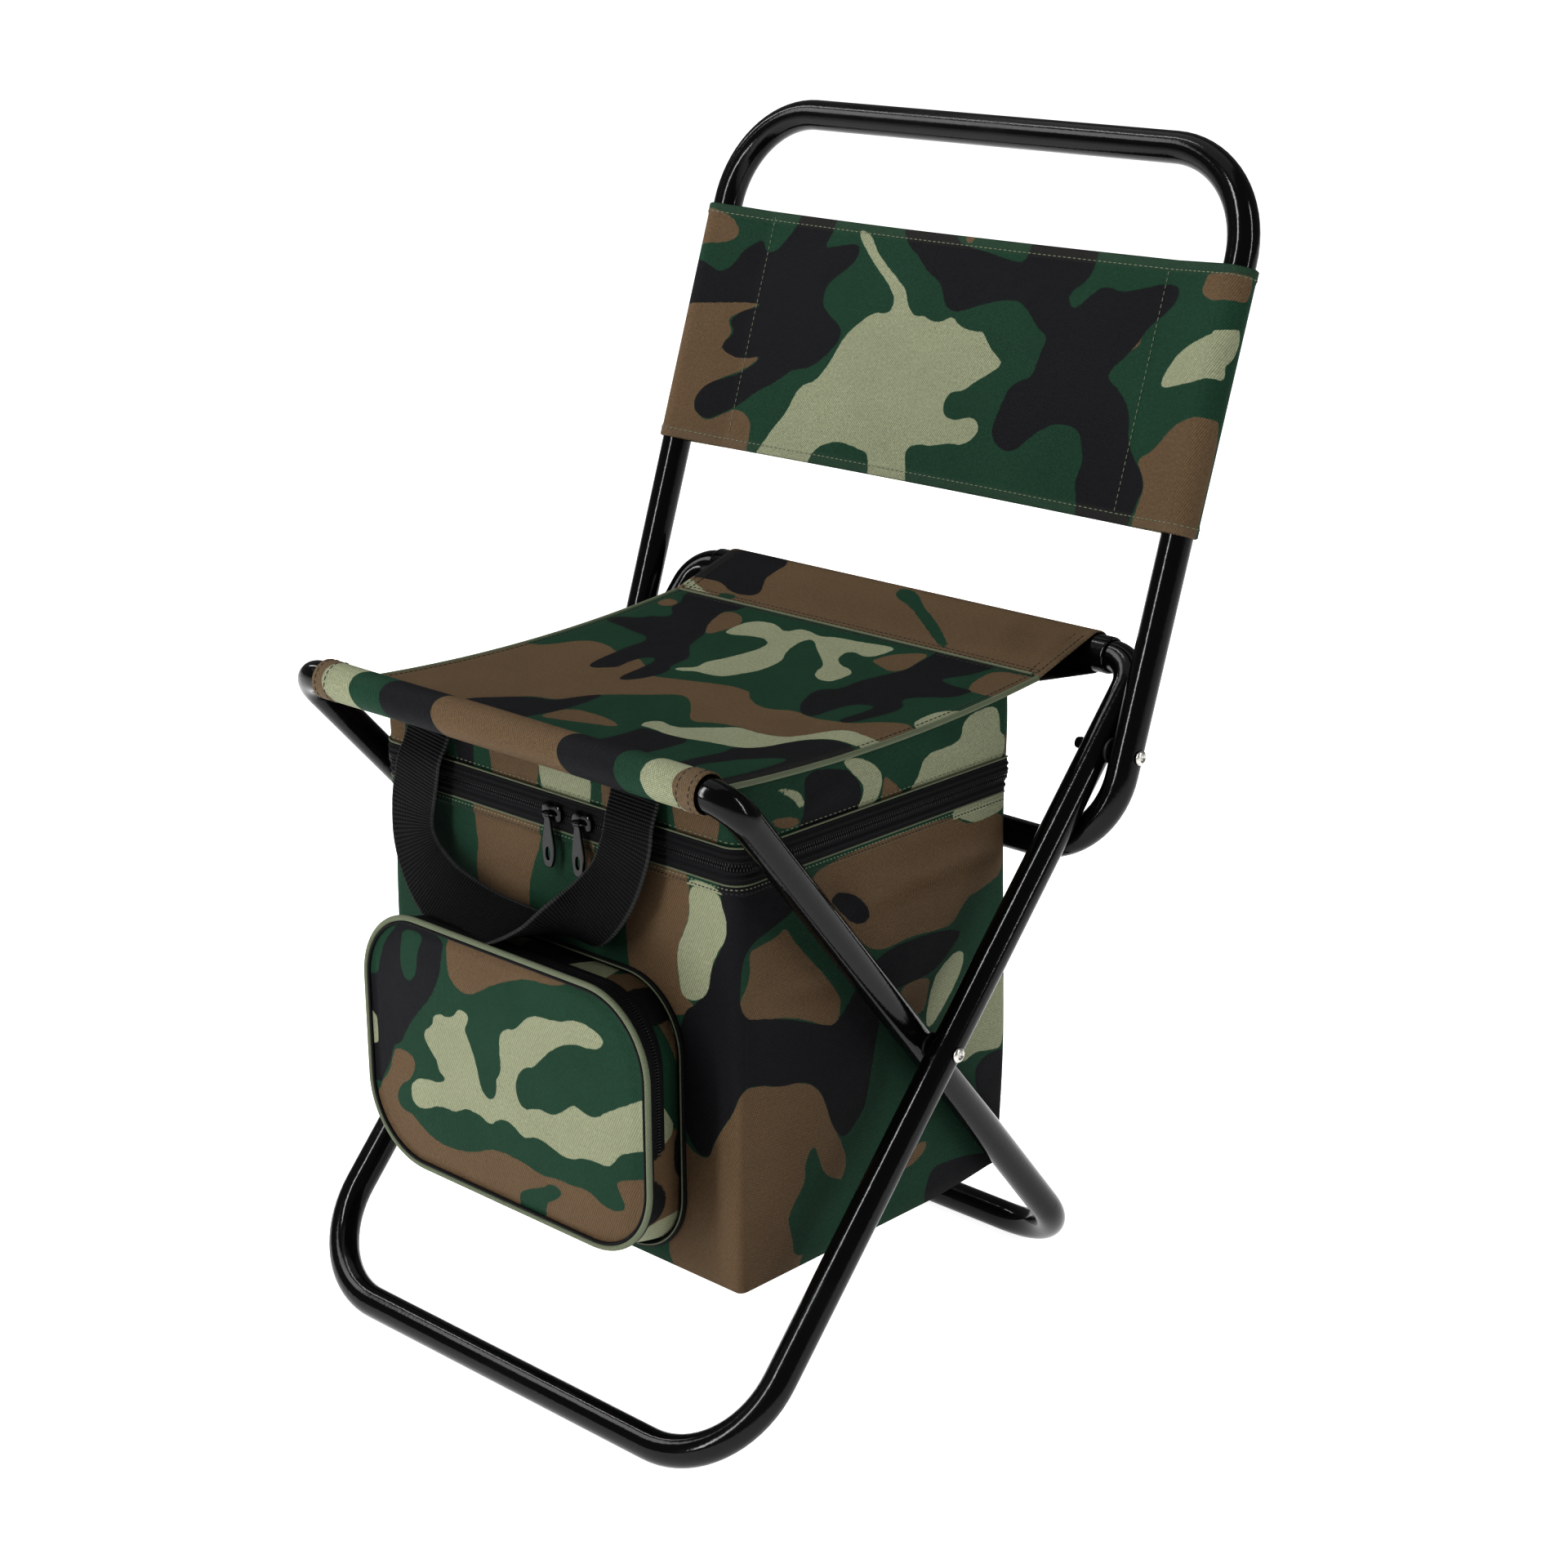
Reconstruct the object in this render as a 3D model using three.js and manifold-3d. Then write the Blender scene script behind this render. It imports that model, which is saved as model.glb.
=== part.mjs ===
// Folding stool with a backrest and an insulated bag hung under its seat.
// Millimetres, +Z up, +Y towards the back of the stool, +X to the right as seen from the front.
// The origin lies on the floor under the centre of the whole stool.
import * as THREE from 'three';
import { mergeVertices } from 'three/addons/utils/BufferGeometryUtils.js';
import Module from 'manifold-3d';

const wasm = await Module();
wasm.setup();

// Tube stock and its bends
const tubeDiameter = 16;
const tubeWall = 1.2;
const tubeSides = 16;
const boreSides = 10;
const footBend = 52;
const railBend = 16;
const backTopBend = 52;
const backBaseBend = 42;
const bigBendStep = THREE.MathUtils.degToRad(11.25);
const tightBendStep = THREE.MathUtils.degToRad(18);

// Side view of the two crossing leg frames, measured from a plumb line between the seat rails
const frontFootReach = 150.4;
const rearRailReach = 144.5;
const rearRailHeight = 338.3;
const rearFootReach = 147;
const frontRailReach = 139;
const frontRailHeight = 335.7;

// Widths of the frames, from the middle to a tube's centreline
const rearFrameFootHalf = 122;
const rearFrameRailHalf = 148;

// Backrest
const backPivotShare = 0.89;
const backLean = THREE.MathUtils.degToRad(18.73);
const backLength = 294;
const backBaseDrop = 52;

// Clearances
const fitGap = 0.3;

// Rivets and washers
const shankRadius = 2.2;
const shankHoleGap = 0.3;
const rivetHeadRadius = 3.8;
const rivetHeadHeight = 1.7;
const rivetDimpleRadius = 1.5;
const rivetDimpleDepth = 0.6;
const rivetTailRadius = 3;
const crossingTailLength = 1.6;
const backTailLength = 4;
const washerThickness = 1.2;
const washerRadius = 6.4;
const washerHoleGap = 0.25;
const roundSides = 20;

// Rear rail, slipped over the bent ends of the front leg frame
const railWall = 1;
const railStubLength = 22;

// Seat cloth
const clothThickness = 1.2;
const seatThickness = 1.6;
const seatHalfWidth = 124;
const seatSag = 6.5;
const seatFrontDrop = 12.4;
const seatFrontSetback = 1;
const seatRearSetback = 45;
const seatRearDrop = 12.9;
const seatSpans = 12;
const frontSleeveShort = 1;
const rearSleeveShort = 11;
const pipingRadius = 1.4;
const pipingSides = 8;

// Backrest cover
const coverLow = 109;
const coverHeight = 130;
const coverSeamInset = 35;
const loopSteps = 14;

// Cooler bag
const railToBag = 30.2;
const bagHeight = 204;
const bagFlare = 11.7;
const bagLegGap = 7;
const bagFrameGap = 3;
const bagCornerRadius = 10;
const bagWall = 1.5;
const foamWall = 6;
const linerWall = 0.8;
const baseBoardThickness = 3;
const zipBelowSeat = 36;
const zipBandAbove = 8;
const zipBandBelow = 9;
const zipGap = 0.6;
const tapeProud = 1.2;
const tapeEndSetback = 12;
const lidFoamThickness = 8;
const cornerSteps = 4;
const cutOverrun = 40;

// Zip sliders and their pulls
const sliderLength = 13;
const sliderWidth = 9;
const sliderThickness = 2.6;
const sliderWaistShare = 0.7;
const sliderSpacing = 20.6;
const sliderOffset = 14.2;
const bailBarRadius = 0.6;
const bailSpan = 8;
const barrelWall = 0.7;
const barrelLength = 4;
const pullLength = 27;
const pullTopWidth = 4.6;
const pullWidth = 8.4;
const pullThickness = 1.6;
const pullWindowLength = 7;
const pullWindowWidth = 3;
const pullWindowRise = 4.5;

// Carry handle
const webWidth = 29;
const webThickness = 1.8;
const handleHalf = 70;
const handleOffset = -9;
const handleBelowRail = 17.7;
const handleAbovePocket = 3.8;
const handleFoldWidth = 17;
const handleBend = 52;
const innerHandleBend = 26;
const handleLean = THREE.MathUtils.degToRad(18);
const handleSteps = 7;

// Front pocket
const pocketHalfWidth = 84;
const pocketAboveFloor = 7;
const pocketBelowZip = 69;
const pocketDepth = 36;
const pocketFlare = 15;
const pocketLiftLow = 14;
const pocketLiftHigh = 6;
const pocketCorner = 32;
const pocketCornerGain = 6;
const pocketWall = 1.5;
const pocketPipingRadius = 1.6;
const bindingRadius = 1.5;
const pocketZipProud = 1;
const pocketZipBackShare = 0.55;
const pocketZipFrontShare = 0.93;
const pocketZipLowShare = 0.475;
const pocketCornerSteps = 6;

// Sizes worked out from those above
const tubeRadius = tubeDiameter / 2;
const tubeCorner = tubeRadius / Math.cos(Math.PI / tubeSides);
const boreRadius = tubeRadius - tubeWall;
const legSpacing = 2 * tubeCorner + washerThickness + 2 * fitGap;
const railBore = tubeCorner + fitGap;
const railRadius = railBore + railWall;
const railCorner = railRadius / Math.cos(Math.PI / tubeSides);
const frontSleeveBore = tubeCorner + fitGap;
const rearSleeveBore = railCorner + fitGap;
const sideView = (y, z) => new THREE.Vector2(y, z);
const frontFoot = sideView(-frontFootReach, tubeRadius);
const rearRail = sideView(rearRailReach, rearRailHeight);
const rearFoot = sideView(rearFootReach, tubeRadius);
const frontRail = sideView(-frontRailReach, frontRailHeight);
const crossing = lineCrossing(frontFoot, rearRail, rearFoot, frontRail);
const rearFrameSlope = (rearFrameRailHalf - rearFrameFootHalf) / (frontRail.y - rearFoot.y);
const rearFrameHalfAt = (z) => rearFrameFootHalf + rearFrameSlope * (z - rearFoot.y);
const frontFrameHalf = rearFrameHalfAt(crossing.y) + legSpacing;
const backHalf = frontFrameHalf + legSpacing;
const backPivot = frontFoot.clone().lerp(rearRail, backPivotShare);
const backUp = sideView(Math.sin(backLean), Math.cos(backLean));
const backTop = backPivot.clone().addScaledVector(backUp, backLength);
const crossBar = backPivot.clone().addScaledVector(backUp, -backBaseDrop);
const bagFront = frontRail.x + railToBag;
const bagBack = crossBar.x - tubeCorner - bagFrameGap;
const seatFrontEnd = sideView(
  frontRail.x + frontSleeveBore + clothThickness + seatFrontSetback,
  frontRail.y + frontSleeveBore + clothThickness - seatFrontDrop,
);
const seatRearEnd = sideView(rearRail.x - seatRearSetback, rearRail.y + rearSleeveBore - seatRearDrop);
const seatUnderside = Math.min(...seatPoints(seatThickness).map((point) => point.y));
const zipLineHeight = seatUnderside - zipBelowSeat;
const lidSeamHeight = zipLineHeight + zipBandAbove;
const bagMouthHeight = zipLineHeight - zipBandBelow;
const bagFloorHeight = bagMouthHeight - bagHeight;
const bagHalfLow = rearFrameHalfAt(bagFloorHeight) - tubeCorner - bagLegGap;
const bagHalfHigh = bagHalfLow + bagFlare;
const zipFace = bagFront - tapeProud;
const pocketLow = bagFloorHeight + pocketAboveFloor;
const pocketHigh = zipLineHeight - pocketBelowZip;
const pocketTop = pocketHigh + pocketLiftHigh + 2 * pocketPipingRadius;
const pocketZipLow = pocketLow + (pocketHigh - pocketLow) * pocketZipLowShare;
const pocketSliderHeight = pocketZipLow + sliderLength / 2 + fitGap;
const handleHeight = frontRail.y - handleBelowRail;
const handleDrop = (handleHeight - pocketTop - handleAbovePocket) / Math.cos(handleLean);
const frontMost = frontFoot.x - tubeRadius;
const rearMost = backTop.x + tubeRadius;
const originShift = -(frontMost + rearMost) / 2;

// Finishes
const finish = (color, roughness, metalness) => (
  new THREE.MeshStandardMaterial({ color, roughness, metalness })
);
const blackSteel = finish(0x0b0b0c, 0.25, 0.6);
const bareSteel = finish(0xb9b6ad, 0.35, 0.9);
const blackNylon = finish(0x101011, 0.6, 0);
const camoCloth = finish(0x3c4632, 0.85, 0);
const greenTrim = finish(0x8f9a77, 0.8, 0);
const blackTape = finish(0x141414, 0.8, 0);
const foam = finish(0xe6e6e2, 0.9, 0);
const foil = finish(0xc4c6c9, 0.3, 0.7);
const board = finish(0x3a3a38, 0.7, 0);

function lineCrossing(a, b, c, d) {
  const first = b.clone().sub(a);
  const second = d.clone().sub(c);
  const along = c.clone().sub(a).cross(second) / first.cross(second);
  return a.clone().addScaledVector(first, along);
}

// A point at a distance x from the middle plane, over a point of the side view
function at(x, side) {
  return new THREE.Vector3(x, side.x, side.y);
}

// A run of stations, each a point and the direction of travel there; its sections turn with the run
class StationRun extends THREE.Curve {
  constructor(stations, firstNormal) {
    super();
    this.stations = stations;
    this.firstNormal = firstNormal;
  }

  stationAt(share) {
    return this.stations[Math.round(share * (this.stations.length - 1))];
  }

  getPoint(share, target = new THREE.Vector3()) {
    return target.copy(this.stationAt(share).point);
  }

  getPointAt(share, target) {
    return this.getPoint(share, target);
  }

  computeFrenetFrames() {
    const tangents = this.stations.map((station) => station.tangent);
    const normals = [this.firstNormal.clone()];
    const swing = new THREE.Quaternion();
    for (let i = 1; i < tangents.length; i += 1) {
      swing.setFromUnitVectors(tangents[i - 1], tangents[i]);
      normals.push(normals[i - 1].clone().applyQuaternion(swing));
    }
    const binormals = normals.map((normal, i) => tangents[i].clone().cross(normal));
    return { tangents, normals, binormals };
  }
}

// Stations along straight stretches that meet in round bends
function bentStations(corners, bends) {
  let direction = corners[1].clone().sub(corners[0]).normalize();
  const stations = [{ point: corners[0].clone(), tangent: direction }];
  bends.forEach(({ radius, step }, i) => {
    const corner = corners[i + 1];
    const next = corners[i + 2].clone().sub(corner).normalize();
    const turn = direction.angleTo(next);
    const axis = direction.clone().cross(next).normalize();
    const inward = axis.clone().cross(direction);
    const start = corner.clone().addScaledVector(direction, -radius * Math.tan(turn / 2));
    const centre = start.addScaledVector(inward, radius);
    const steps = Math.ceil(turn / step);
    for (let k = 0; k <= steps; k += 1) {
      const angle = (turn * k) / steps;
      const arm = inward.clone().multiplyScalar(-radius).applyAxisAngle(axis, angle);
      const point = centre.clone().add(arm);
      stations.push({ point, tangent: direction.clone().applyAxisAngle(axis, angle) });
    }
    direction = next;
  });
  stations.push({ point: corners.at(-1).clone(), tangent: direction });
  return stations;
}

// A regular outline whose flats touch the circle, one flat facing along +x
function flatSided(radius, sides) {
  const reach = radius / Math.cos(Math.PI / sides);
  return Array.from({ length: sides }, (_, k) => {
    const angle = ((2 * k + 1) * Math.PI) / sides;
    return new THREE.Vector2(reach * Math.cos(angle), reach * Math.sin(angle));
  });
}

function tubeSection(radius, sides, bore = 0, boreCount = boreSides) {
  const section = new THREE.Shape(flatSided(radius, sides));
  if (bore > 0) section.holes.push(new THREE.Path(flatSided(bore, boreCount)));
  return section;
}

function sweep(section, stations, firstNormal) {
  const extrudePath = new StationRun(stations, firstNormal);
  return new THREE.ExtrudeGeometry(section, { steps: stations.length - 1, extrudePath });
}

function mirrored(geometry) {
  const copy = geometry.index ? geometry.toNonIndexed() : geometry.clone();
  const position = copy.attributes.position;
  for (let i = 0; i < position.count; i += 3) {
    const second = new THREE.Vector3().fromBufferAttribute(position, i + 1);
    const third = new THREE.Vector3().fromBufferAttribute(position, i + 2);
    position.setXYZ(i, -position.getX(i), position.getY(i), position.getZ(i));
    position.setXYZ(i + 1, -third.x, third.y, third.z);
    position.setXYZ(i + 2, -second.x, second.y, second.z);
  }
  return copy;
}

function toSolid(geometry) {
  const bare = geometry.clone();
  bare.deleteAttribute('normal');
  bare.deleteAttribute('uv');
  const welded = mergeVertices(bare);
  return new wasm.Manifold(new wasm.Mesh({
    numProp: 3,
    vertProperties: Float32Array.from(welded.attributes.position.array),
    triVerts: Uint32Array.from(welded.index.array),
  }));
}

function fromSolid(solid) {
  const mesh = solid.getMesh();
  const geometry = new THREE.BufferGeometry();
  geometry.setAttribute('position', new THREE.Float32BufferAttribute(mesh.vertProperties, 3));
  geometry.setIndex(Array.from(mesh.triVerts));
  const faceted = geometry.toNonIndexed();
  faceted.computeVertexNormals();
  return faceted;
}

// A half piece that starts and ends on the middle plane, joined to its mirror image
function bothHalves(half) {
  return toSolid(half).add(toSolid(mirrored(half)));
}

// A revolved piece whose axis lies along X at a point of the side view
function turnedAlongX(profile, side) {
  const lathe = new THREE.LatheGeometry(profile, roundSides);
  lathe.rotateZ(-Math.PI / 2);
  return lathe.translate(0, side.x, side.y);
}

// A round bar along X from one distance to another
function barAlongX(radius, low, high, side) {
  const bar = new THREE.CylinderGeometry(radius, radius, high - low, roundSides);
  bar.rotateZ(-Math.PI / 2);
  return bar.translate((low + high) / 2, side.x, side.y);
}

// A side view outline carried along X from one distance to another
function extrudeAlongX(shape, low, high) {
  const depth = high - low;
  const solid = new THREE.ExtrudeGeometry(shape, { depth, bevelEnabled: false, curveSegments: 1 });
  const turn = new THREE.Matrix4().makeBasis(
    new THREE.Vector3(0, 1, 0),
    new THREE.Vector3(0, 0, 1),
    new THREE.Vector3(1, 0, 0),
  );
  return solid.applyMatrix4(turn).translate(low, 0, 0);
}

// Frame

function rivetHole(side, low, high) {
  return toSolid(barAlongX(shankRadius + shankHoleGap, low, high, side));
}

function drilled(solid, side, low, high) {
  const hole = rivetHole(side, low, high);
  return solid.subtract(hole).subtract(rivetHole(side, -high, -low));
}

function frontLegFrame() {
  const stubEnd = frontFrameHalf - railBend - railStubLength;
  const corners = [
    at(0, frontFoot),
    at(frontFrameHalf, frontFoot),
    at(frontFrameHalf, rearRail),
    at(stubEnd, rearRail),
  ];
  const bends = [
    { radius: footBend, step: bigBendStep },
    { radius: railBend, step: tightBendStep },
  ];
  const half = sweep(
    tubeSection(tubeRadius, tubeSides, boreRadius),
    bentStations(corners, bends),
    new THREE.Vector3(0, 0, -1),
  );
  const low = frontFrameHalf - tubeDiameter;
  const high = frontFrameHalf + tubeDiameter;
  const frame = drilled(bothHalves(half), crossing, low, high);
  return fromSolid(drilled(frame, backPivot, low, high));
}

function rearLegFrame() {
  const corners = [
    at(0, rearFoot),
    at(rearFrameFootHalf, rearFoot),
    at(rearFrameRailHalf, frontRail),
    at(0, frontRail),
  ];
  const bends = [
    { radius: footBend, step: bigBendStep },
    { radius: railBend, step: tightBendStep },
  ];
  const half = sweep(
    tubeSection(tubeRadius, tubeSides, boreRadius),
    bentStations(corners, bends),
    new THREE.Vector3(0, 0, -1),
  );
  const middle = rearFrameHalfAt(crossing.y);
  return fromSolid(drilled(bothHalves(half), crossing, middle - tubeDiameter, middle + tubeDiameter));
}

function backrestFrame() {
  const corners = [at(0, crossBar), at(backHalf, crossBar), at(backHalf, backTop), at(0, backTop)];
  const bends = [
    { radius: backBaseBend, step: bigBendStep },
    { radius: backTopBend, step: bigBendStep },
  ];
  const half = sweep(
    tubeSection(tubeRadius, tubeSides, boreRadius),
    bentStations(corners, bends),
    at(0, backUp),
  );
  const frame = bothHalves(half);
  return fromSolid(drilled(frame, backPivot, backHalf - tubeDiameter, backHalf + tubeDiameter));
}

function rearSeatRail() {
  const end = frontFrameHalf - railBend - fitGap;
  const run = [
    { point: at(-end, rearRail), tangent: new THREE.Vector3(1, 0, 0) },
    { point: at(end, rearRail), tangent: new THREE.Vector3(1, 0, 0) },
  ];
  const section = tubeSection(railRadius, tubeSides, railBore, tubeSides);
  return sweep(section, run, new THREE.Vector3(0, 0, -1));
}

// A rivet from its domed, dimpled head at the outer end to its formed tail at the inner end
function rivet(side, outerHalf, innerHalf, tailLength) {
  const outer = outerHalf + tubeCorner + fitGap;
  const inner = innerHalf - tubeCorner - fitGap;
  const tip = outer + rivetHeadHeight;
  const profile = [
    new THREE.Vector2(0, inner - tailLength),
    new THREE.Vector2(shankRadius, inner - tailLength),
    new THREE.Vector2(rivetTailRadius, inner - tailLength / 2),
    new THREE.Vector2(rivetTailRadius, inner),
    new THREE.Vector2(shankRadius, inner),
    new THREE.Vector2(shankRadius, outer),
    new THREE.Vector2(rivetHeadRadius, outer),
  ];
  const domeSteps = 3;
  for (let k = 1; k <= domeSteps; k += 1) {
    const angle = (k * Math.PI) / (2 * domeSteps);
    const reach = rivetDimpleRadius + (rivetHeadRadius - rivetDimpleRadius) * Math.cos(angle);
    profile.push(new THREE.Vector2(reach, outer + rivetHeadHeight * Math.sin(angle)));
  }
  profile.push(new THREE.Vector2(0, tip - rivetDimpleDepth));
  return turnedAlongX(profile, side);
}

function washer(side, innerHalf) {
  const low = innerHalf + tubeCorner + fitGap;
  const high = low + washerThickness;
  const hole = shankRadius + washerHoleGap;
  const profile = [
    new THREE.Vector2(hole, low),
    new THREE.Vector2(washerRadius, low),
    new THREE.Vector2(washerRadius, high),
    new THREE.Vector2(hole, high),
    new THREE.Vector2(hole, low),
  ];
  return turnedAlongX(profile, side);
}

// Seat cloth

// Height of the seat cloth's top at a place along Y
function seatHeight(y) {
  const share = (y - seatFrontEnd.x) / (seatRearEnd.x - seatFrontEnd.x);
  const level = seatFrontEnd.y + share * (seatRearEnd.y - seatFrontEnd.y);
  return level - 4 * seatSag * share * (1 - share);
}

function seatPoints(drop) {
  return Array.from({ length: seatSpans + 1 }, (_, k) => {
    const y = seatFrontEnd.x + ((seatRearEnd.x - seatFrontEnd.x) * k) / seatSpans;
    return new THREE.Vector2(y, seatHeight(y) - drop);
  });
}

function seatPanel() {
  const outline = new THREE.Shape([...seatPoints(seatThickness), ...seatPoints(0).reverse()]);
  return extrudeAlongX(outline, -seatHalfWidth, seatHalfWidth);
}

function seatPiping() {
  const x = seatHalfWidth + fitGap + pipingRadius;
  const stations = seatPoints(seatThickness / 2).map((side, k, all) => {
    const before = all[Math.max(k - 1, 0)];
    const after = all[Math.min(k + 1, all.length - 1)];
    return { point: at(x, side), tangent: at(0, after.clone().sub(before)).normalize() };
  });
  return sweep(tubeSection(pipingRadius, pipingSides), stations, new THREE.Vector3(1, 0, 0));
}

// A sewn ring of cloth round a seat rail
function railSleeve(rail, bore, half) {
  const run = [
    { point: at(-half, rail), tangent: new THREE.Vector3(1, 0, 0) },
    { point: at(half, rail), tangent: new THREE.Vector3(1, 0, 0) },
  ];
  const inner = bore / Math.cos(Math.PI / tubeSides);
  const section = tubeSection(bore + clothThickness, tubeSides, inner, tubeSides);
  return sweep(section, run, new THREE.Vector3(0, 0, -1));
}

function frontRailSleeve() {
  return railSleeve(frontRail, frontSleeveBore, rearFrameRailHalf - railBend - frontSleeveShort);
}

// The rear sleeve also has the flat tongue that is sewn to the seat cloth
function rearRailSleeve() {
  const ring = railSleeve(rearRail, rearSleeveBore, frontFrameHalf - railBend - rearSleeveShort);
  const tongueFront = sideView(seatRearEnd.x + fitGap, seatRearEnd.y);
  const ringTop = rearRail.y + rearSleeveBore + clothThickness;
  const outline = new THREE.Shape([
    sideView(tongueFront.x, tongueFront.y - seatThickness),
    sideView(rearRail.x, ringTop - seatThickness),
    sideView(rearRail.x, ringTop),
    tongueFront,
  ]);
  const tongue = toSolid(extrudeAlongX(outline, -seatHalfWidth, seatHalfWidth));
  const clearBore = toSolid(barAlongX(
    rearSleeveBore / Math.cos(Math.PI / roundSides),
    -frontFrameHalf,
    frontFrameHalf,
    rearRail,
  ));
  return fromSolid(toSolid(ring).add(tongue.subtract(clearBore)));
}

// Backrest cover: a flat sheet whose ends are sewn back round the tubes

function coverLoop(outline, centre, radius, seam, sign) {
  const reach = Math.abs(centre - seam);
  const lean = Math.asin(radius / reach);
  const start = Math.PI / 2 + lean;
  for (let k = 0; k <= loopSteps; k += 1) {
    const angle = start - (2 * start * k) / loopSteps;
    const side = sign > 0 ? angle : angle + Math.PI;
    outline.push(new THREE.Vector2(centre + radius * Math.cos(side), radius * Math.sin(side)));
  }
}

function backrestCover() {
  const bore = (tubeCorner + fitGap) / Math.cos(Math.PI / (2 * loopSteps));
  const outer = bore + clothThickness;
  const seam = backHalf - coverSeamInset;
  const edge = clothThickness / 2;
  const points = [new THREE.Vector2(-seam, edge), new THREE.Vector2(seam, edge)];
  coverLoop(points, backHalf, outer, seam, 1);
  points.push(new THREE.Vector2(seam, -edge), new THREE.Vector2(-seam, -edge));
  coverLoop(points, -backHalf, outer, -seam, -1);
  const shape = new THREE.Shape(points.reverse());
  [1, -1].forEach((sign) => {
    const slit = sign * (seam + clothThickness * 2);
    const hole = [new THREE.Vector2(slit, 0)];
    coverLoop(hole, sign * backHalf, bore, slit, sign);
    shape.holes.push(new THREE.Path(hole));
  });
  const sheet = new THREE.ExtrudeGeometry(shape, { depth: coverHeight, bevelEnabled: false });
  const up = at(0, backUp);
  const across = new THREE.Vector3(1, 0, 0);
  const turn = new THREE.Matrix4().makeBasis(across, up.clone().cross(across), up);
  const foot = backPivot.clone().addScaledVector(backUp, coverLow);
  return sheet.applyMatrix4(turn).translate(0, foot.x, foot.y);
}

// Cooler bag

// A plan outline of the bag, drawn in by an inset, with its top half width
function bagOutline(inset) {
  const half = bagHalfHigh - inset;
  const front = bagFront + inset;
  const back = bagBack - inset;
  const radius = Math.max(bagCornerRadius - inset, bagCornerRadius / 2);
  const outline = new THREE.Shape();
  outline.moveTo(-half + radius, front);
  outline.lineTo(half - radius, front);
  outline.absarc(half - radius, front + radius, radius, -Math.PI / 2, 0);
  outline.lineTo(half, back - radius);
  outline.absarc(half - radius, back - radius, radius, 0, Math.PI / 2);
  outline.lineTo(-half + radius, back);
  outline.absarc(-half + radius, back - radius, radius, Math.PI / 2, Math.PI);
  outline.lineTo(-half, front + radius);
  outline.absarc(-half + radius, front + radius, radius, Math.PI, 1.5 * Math.PI);
  return outline;
}

// A block of the bag's form between two heights, narrowed by the flare for the hull below the mouth
function bagBlock(inset, low, high, flare) {
  const block = new THREE.ExtrudeGeometry(bagOutline(inset), {
    depth: high - low,
    bevelEnabled: false,
    curveSegments: cornerSteps,
  });
  block.translate(0, 0, low);
  const position = block.attributes.position;
  for (let i = 0; i < position.count; i += 1) {
    const drop = (bagMouthHeight - position.getZ(i)) / (bagMouthHeight - bagFloorHeight);
    position.setX(i, position.getX(i) * (1 - (flare * drop) / bagHalfHigh));
  }
  return toSolid(block);
}

function hull(inset, low, high) {
  return bagBlock(inset, low, high, bagFlare);
}

function bagBand(outerInset, innerInset, low, high) {
  const hollow = bagBlock(innerInset, low - cutOverrun, high + cutOverrun, 0);
  return bagBlock(outerInset, low, high, 0).subtract(hollow);
}

// The space over the seat cloth's underside, which trims what hangs below it
function aboveSeat(gap) {
  const ceiling = frontRail.y + cutOverrun;
  const underside = seatPoints(seatThickness + gap);
  const outline = new THREE.Shape([
    ...underside,
    sideView(underside.at(-1).x, ceiling),
    sideView(underside[0].x, ceiling),
  ]);
  return toSolid(extrudeAlongX(outline, -frontFrameHalf, frontFrameHalf));
}

// The three-sided run of the zip: all of a band but the middle of its rear
function threeSided(band) {
  const half = bagHalfHigh + cutOverrun;
  const rear = new THREE.BoxGeometry(2 * half, cutOverrun, 2 * rearRail.y);
  rear.translate(0, bagBack - tapeEndSetback - bagCornerRadius + cutOverrun / 2, rearRail.y);
  return band.subtract(toSolid(rear));
}

function bagLidBand() {
  const ceiling = frontRail.y;
  const band = bagBand(0, bagWall, lidSeamHeight, ceiling);
  const half = bagHalfHigh - bagCornerRadius;
  const flapHeight = lidSeamHeight - bagMouthHeight;
  const flap = new THREE.BoxGeometry(2 * half, bagWall, flapHeight);
  flap.translate(0, bagBack - bagWall / 2, bagMouthHeight + fitGap + flapHeight / 2);
  return fromSolid(band.add(toSolid(flap)).subtract(aboveSeat(fitGap)));
}

function lidInsulation() {
  const inset = bagWall + fitGap;
  const block = bagBlock(inset, lidSeamHeight, frontRail.y, 0);
  return fromSolid(block.subtract(aboveSeat(fitGap)).intersect(aboveSeat(fitGap + lidFoamThickness)));
}

function zipUpperTape() {
  const low = zipLineHeight + zipGap / 2;
  return fromSolid(threeSided(bagBand(-tapeProud, 0, low, lidSeamHeight - fitGap)));
}

function zipLowerTape() {
  const high = zipLineHeight - zipGap / 2;
  return fromSolid(threeSided(bagBand(-tapeProud, 0, bagMouthHeight + fitGap, high)));
}

function bagBody() {
  const hollow = hull(bagWall, bagFloorHeight + bagWall, bagMouthHeight + cutOverrun);
  return fromSolid(hull(0, bagFloorHeight, bagMouthHeight).subtract(hollow));
}

const boardInset = bagWall + fitGap;
const boardLow = bagFloorHeight + bagWall + fitGap;
const foamLow = boardLow + baseBoardThickness + fitGap;
const linerInset = boardInset + foamWall + fitGap;
const linerLow = foamLow + foamWall + fitGap;

function baseBoard() {
  return fromSolid(hull(boardInset, boardLow, boardLow + baseBoardThickness));
}

function bagInsulation() {
  const hollow = hull(boardInset + foamWall, foamLow + foamWall, bagMouthHeight + cutOverrun);
  return fromSolid(hull(boardInset, foamLow, bagMouthHeight).subtract(hollow));
}

function bagLiner() {
  const hollow = hull(linerInset + linerWall, linerLow + linerWall, bagMouthHeight + cutOverrun);
  return fromSolid(hull(linerInset, linerLow, bagMouthHeight).subtract(hollow));
}

// Zip sliders: a waisted body with a bail, and a pull whose barrel turns on the bail's bar

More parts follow.
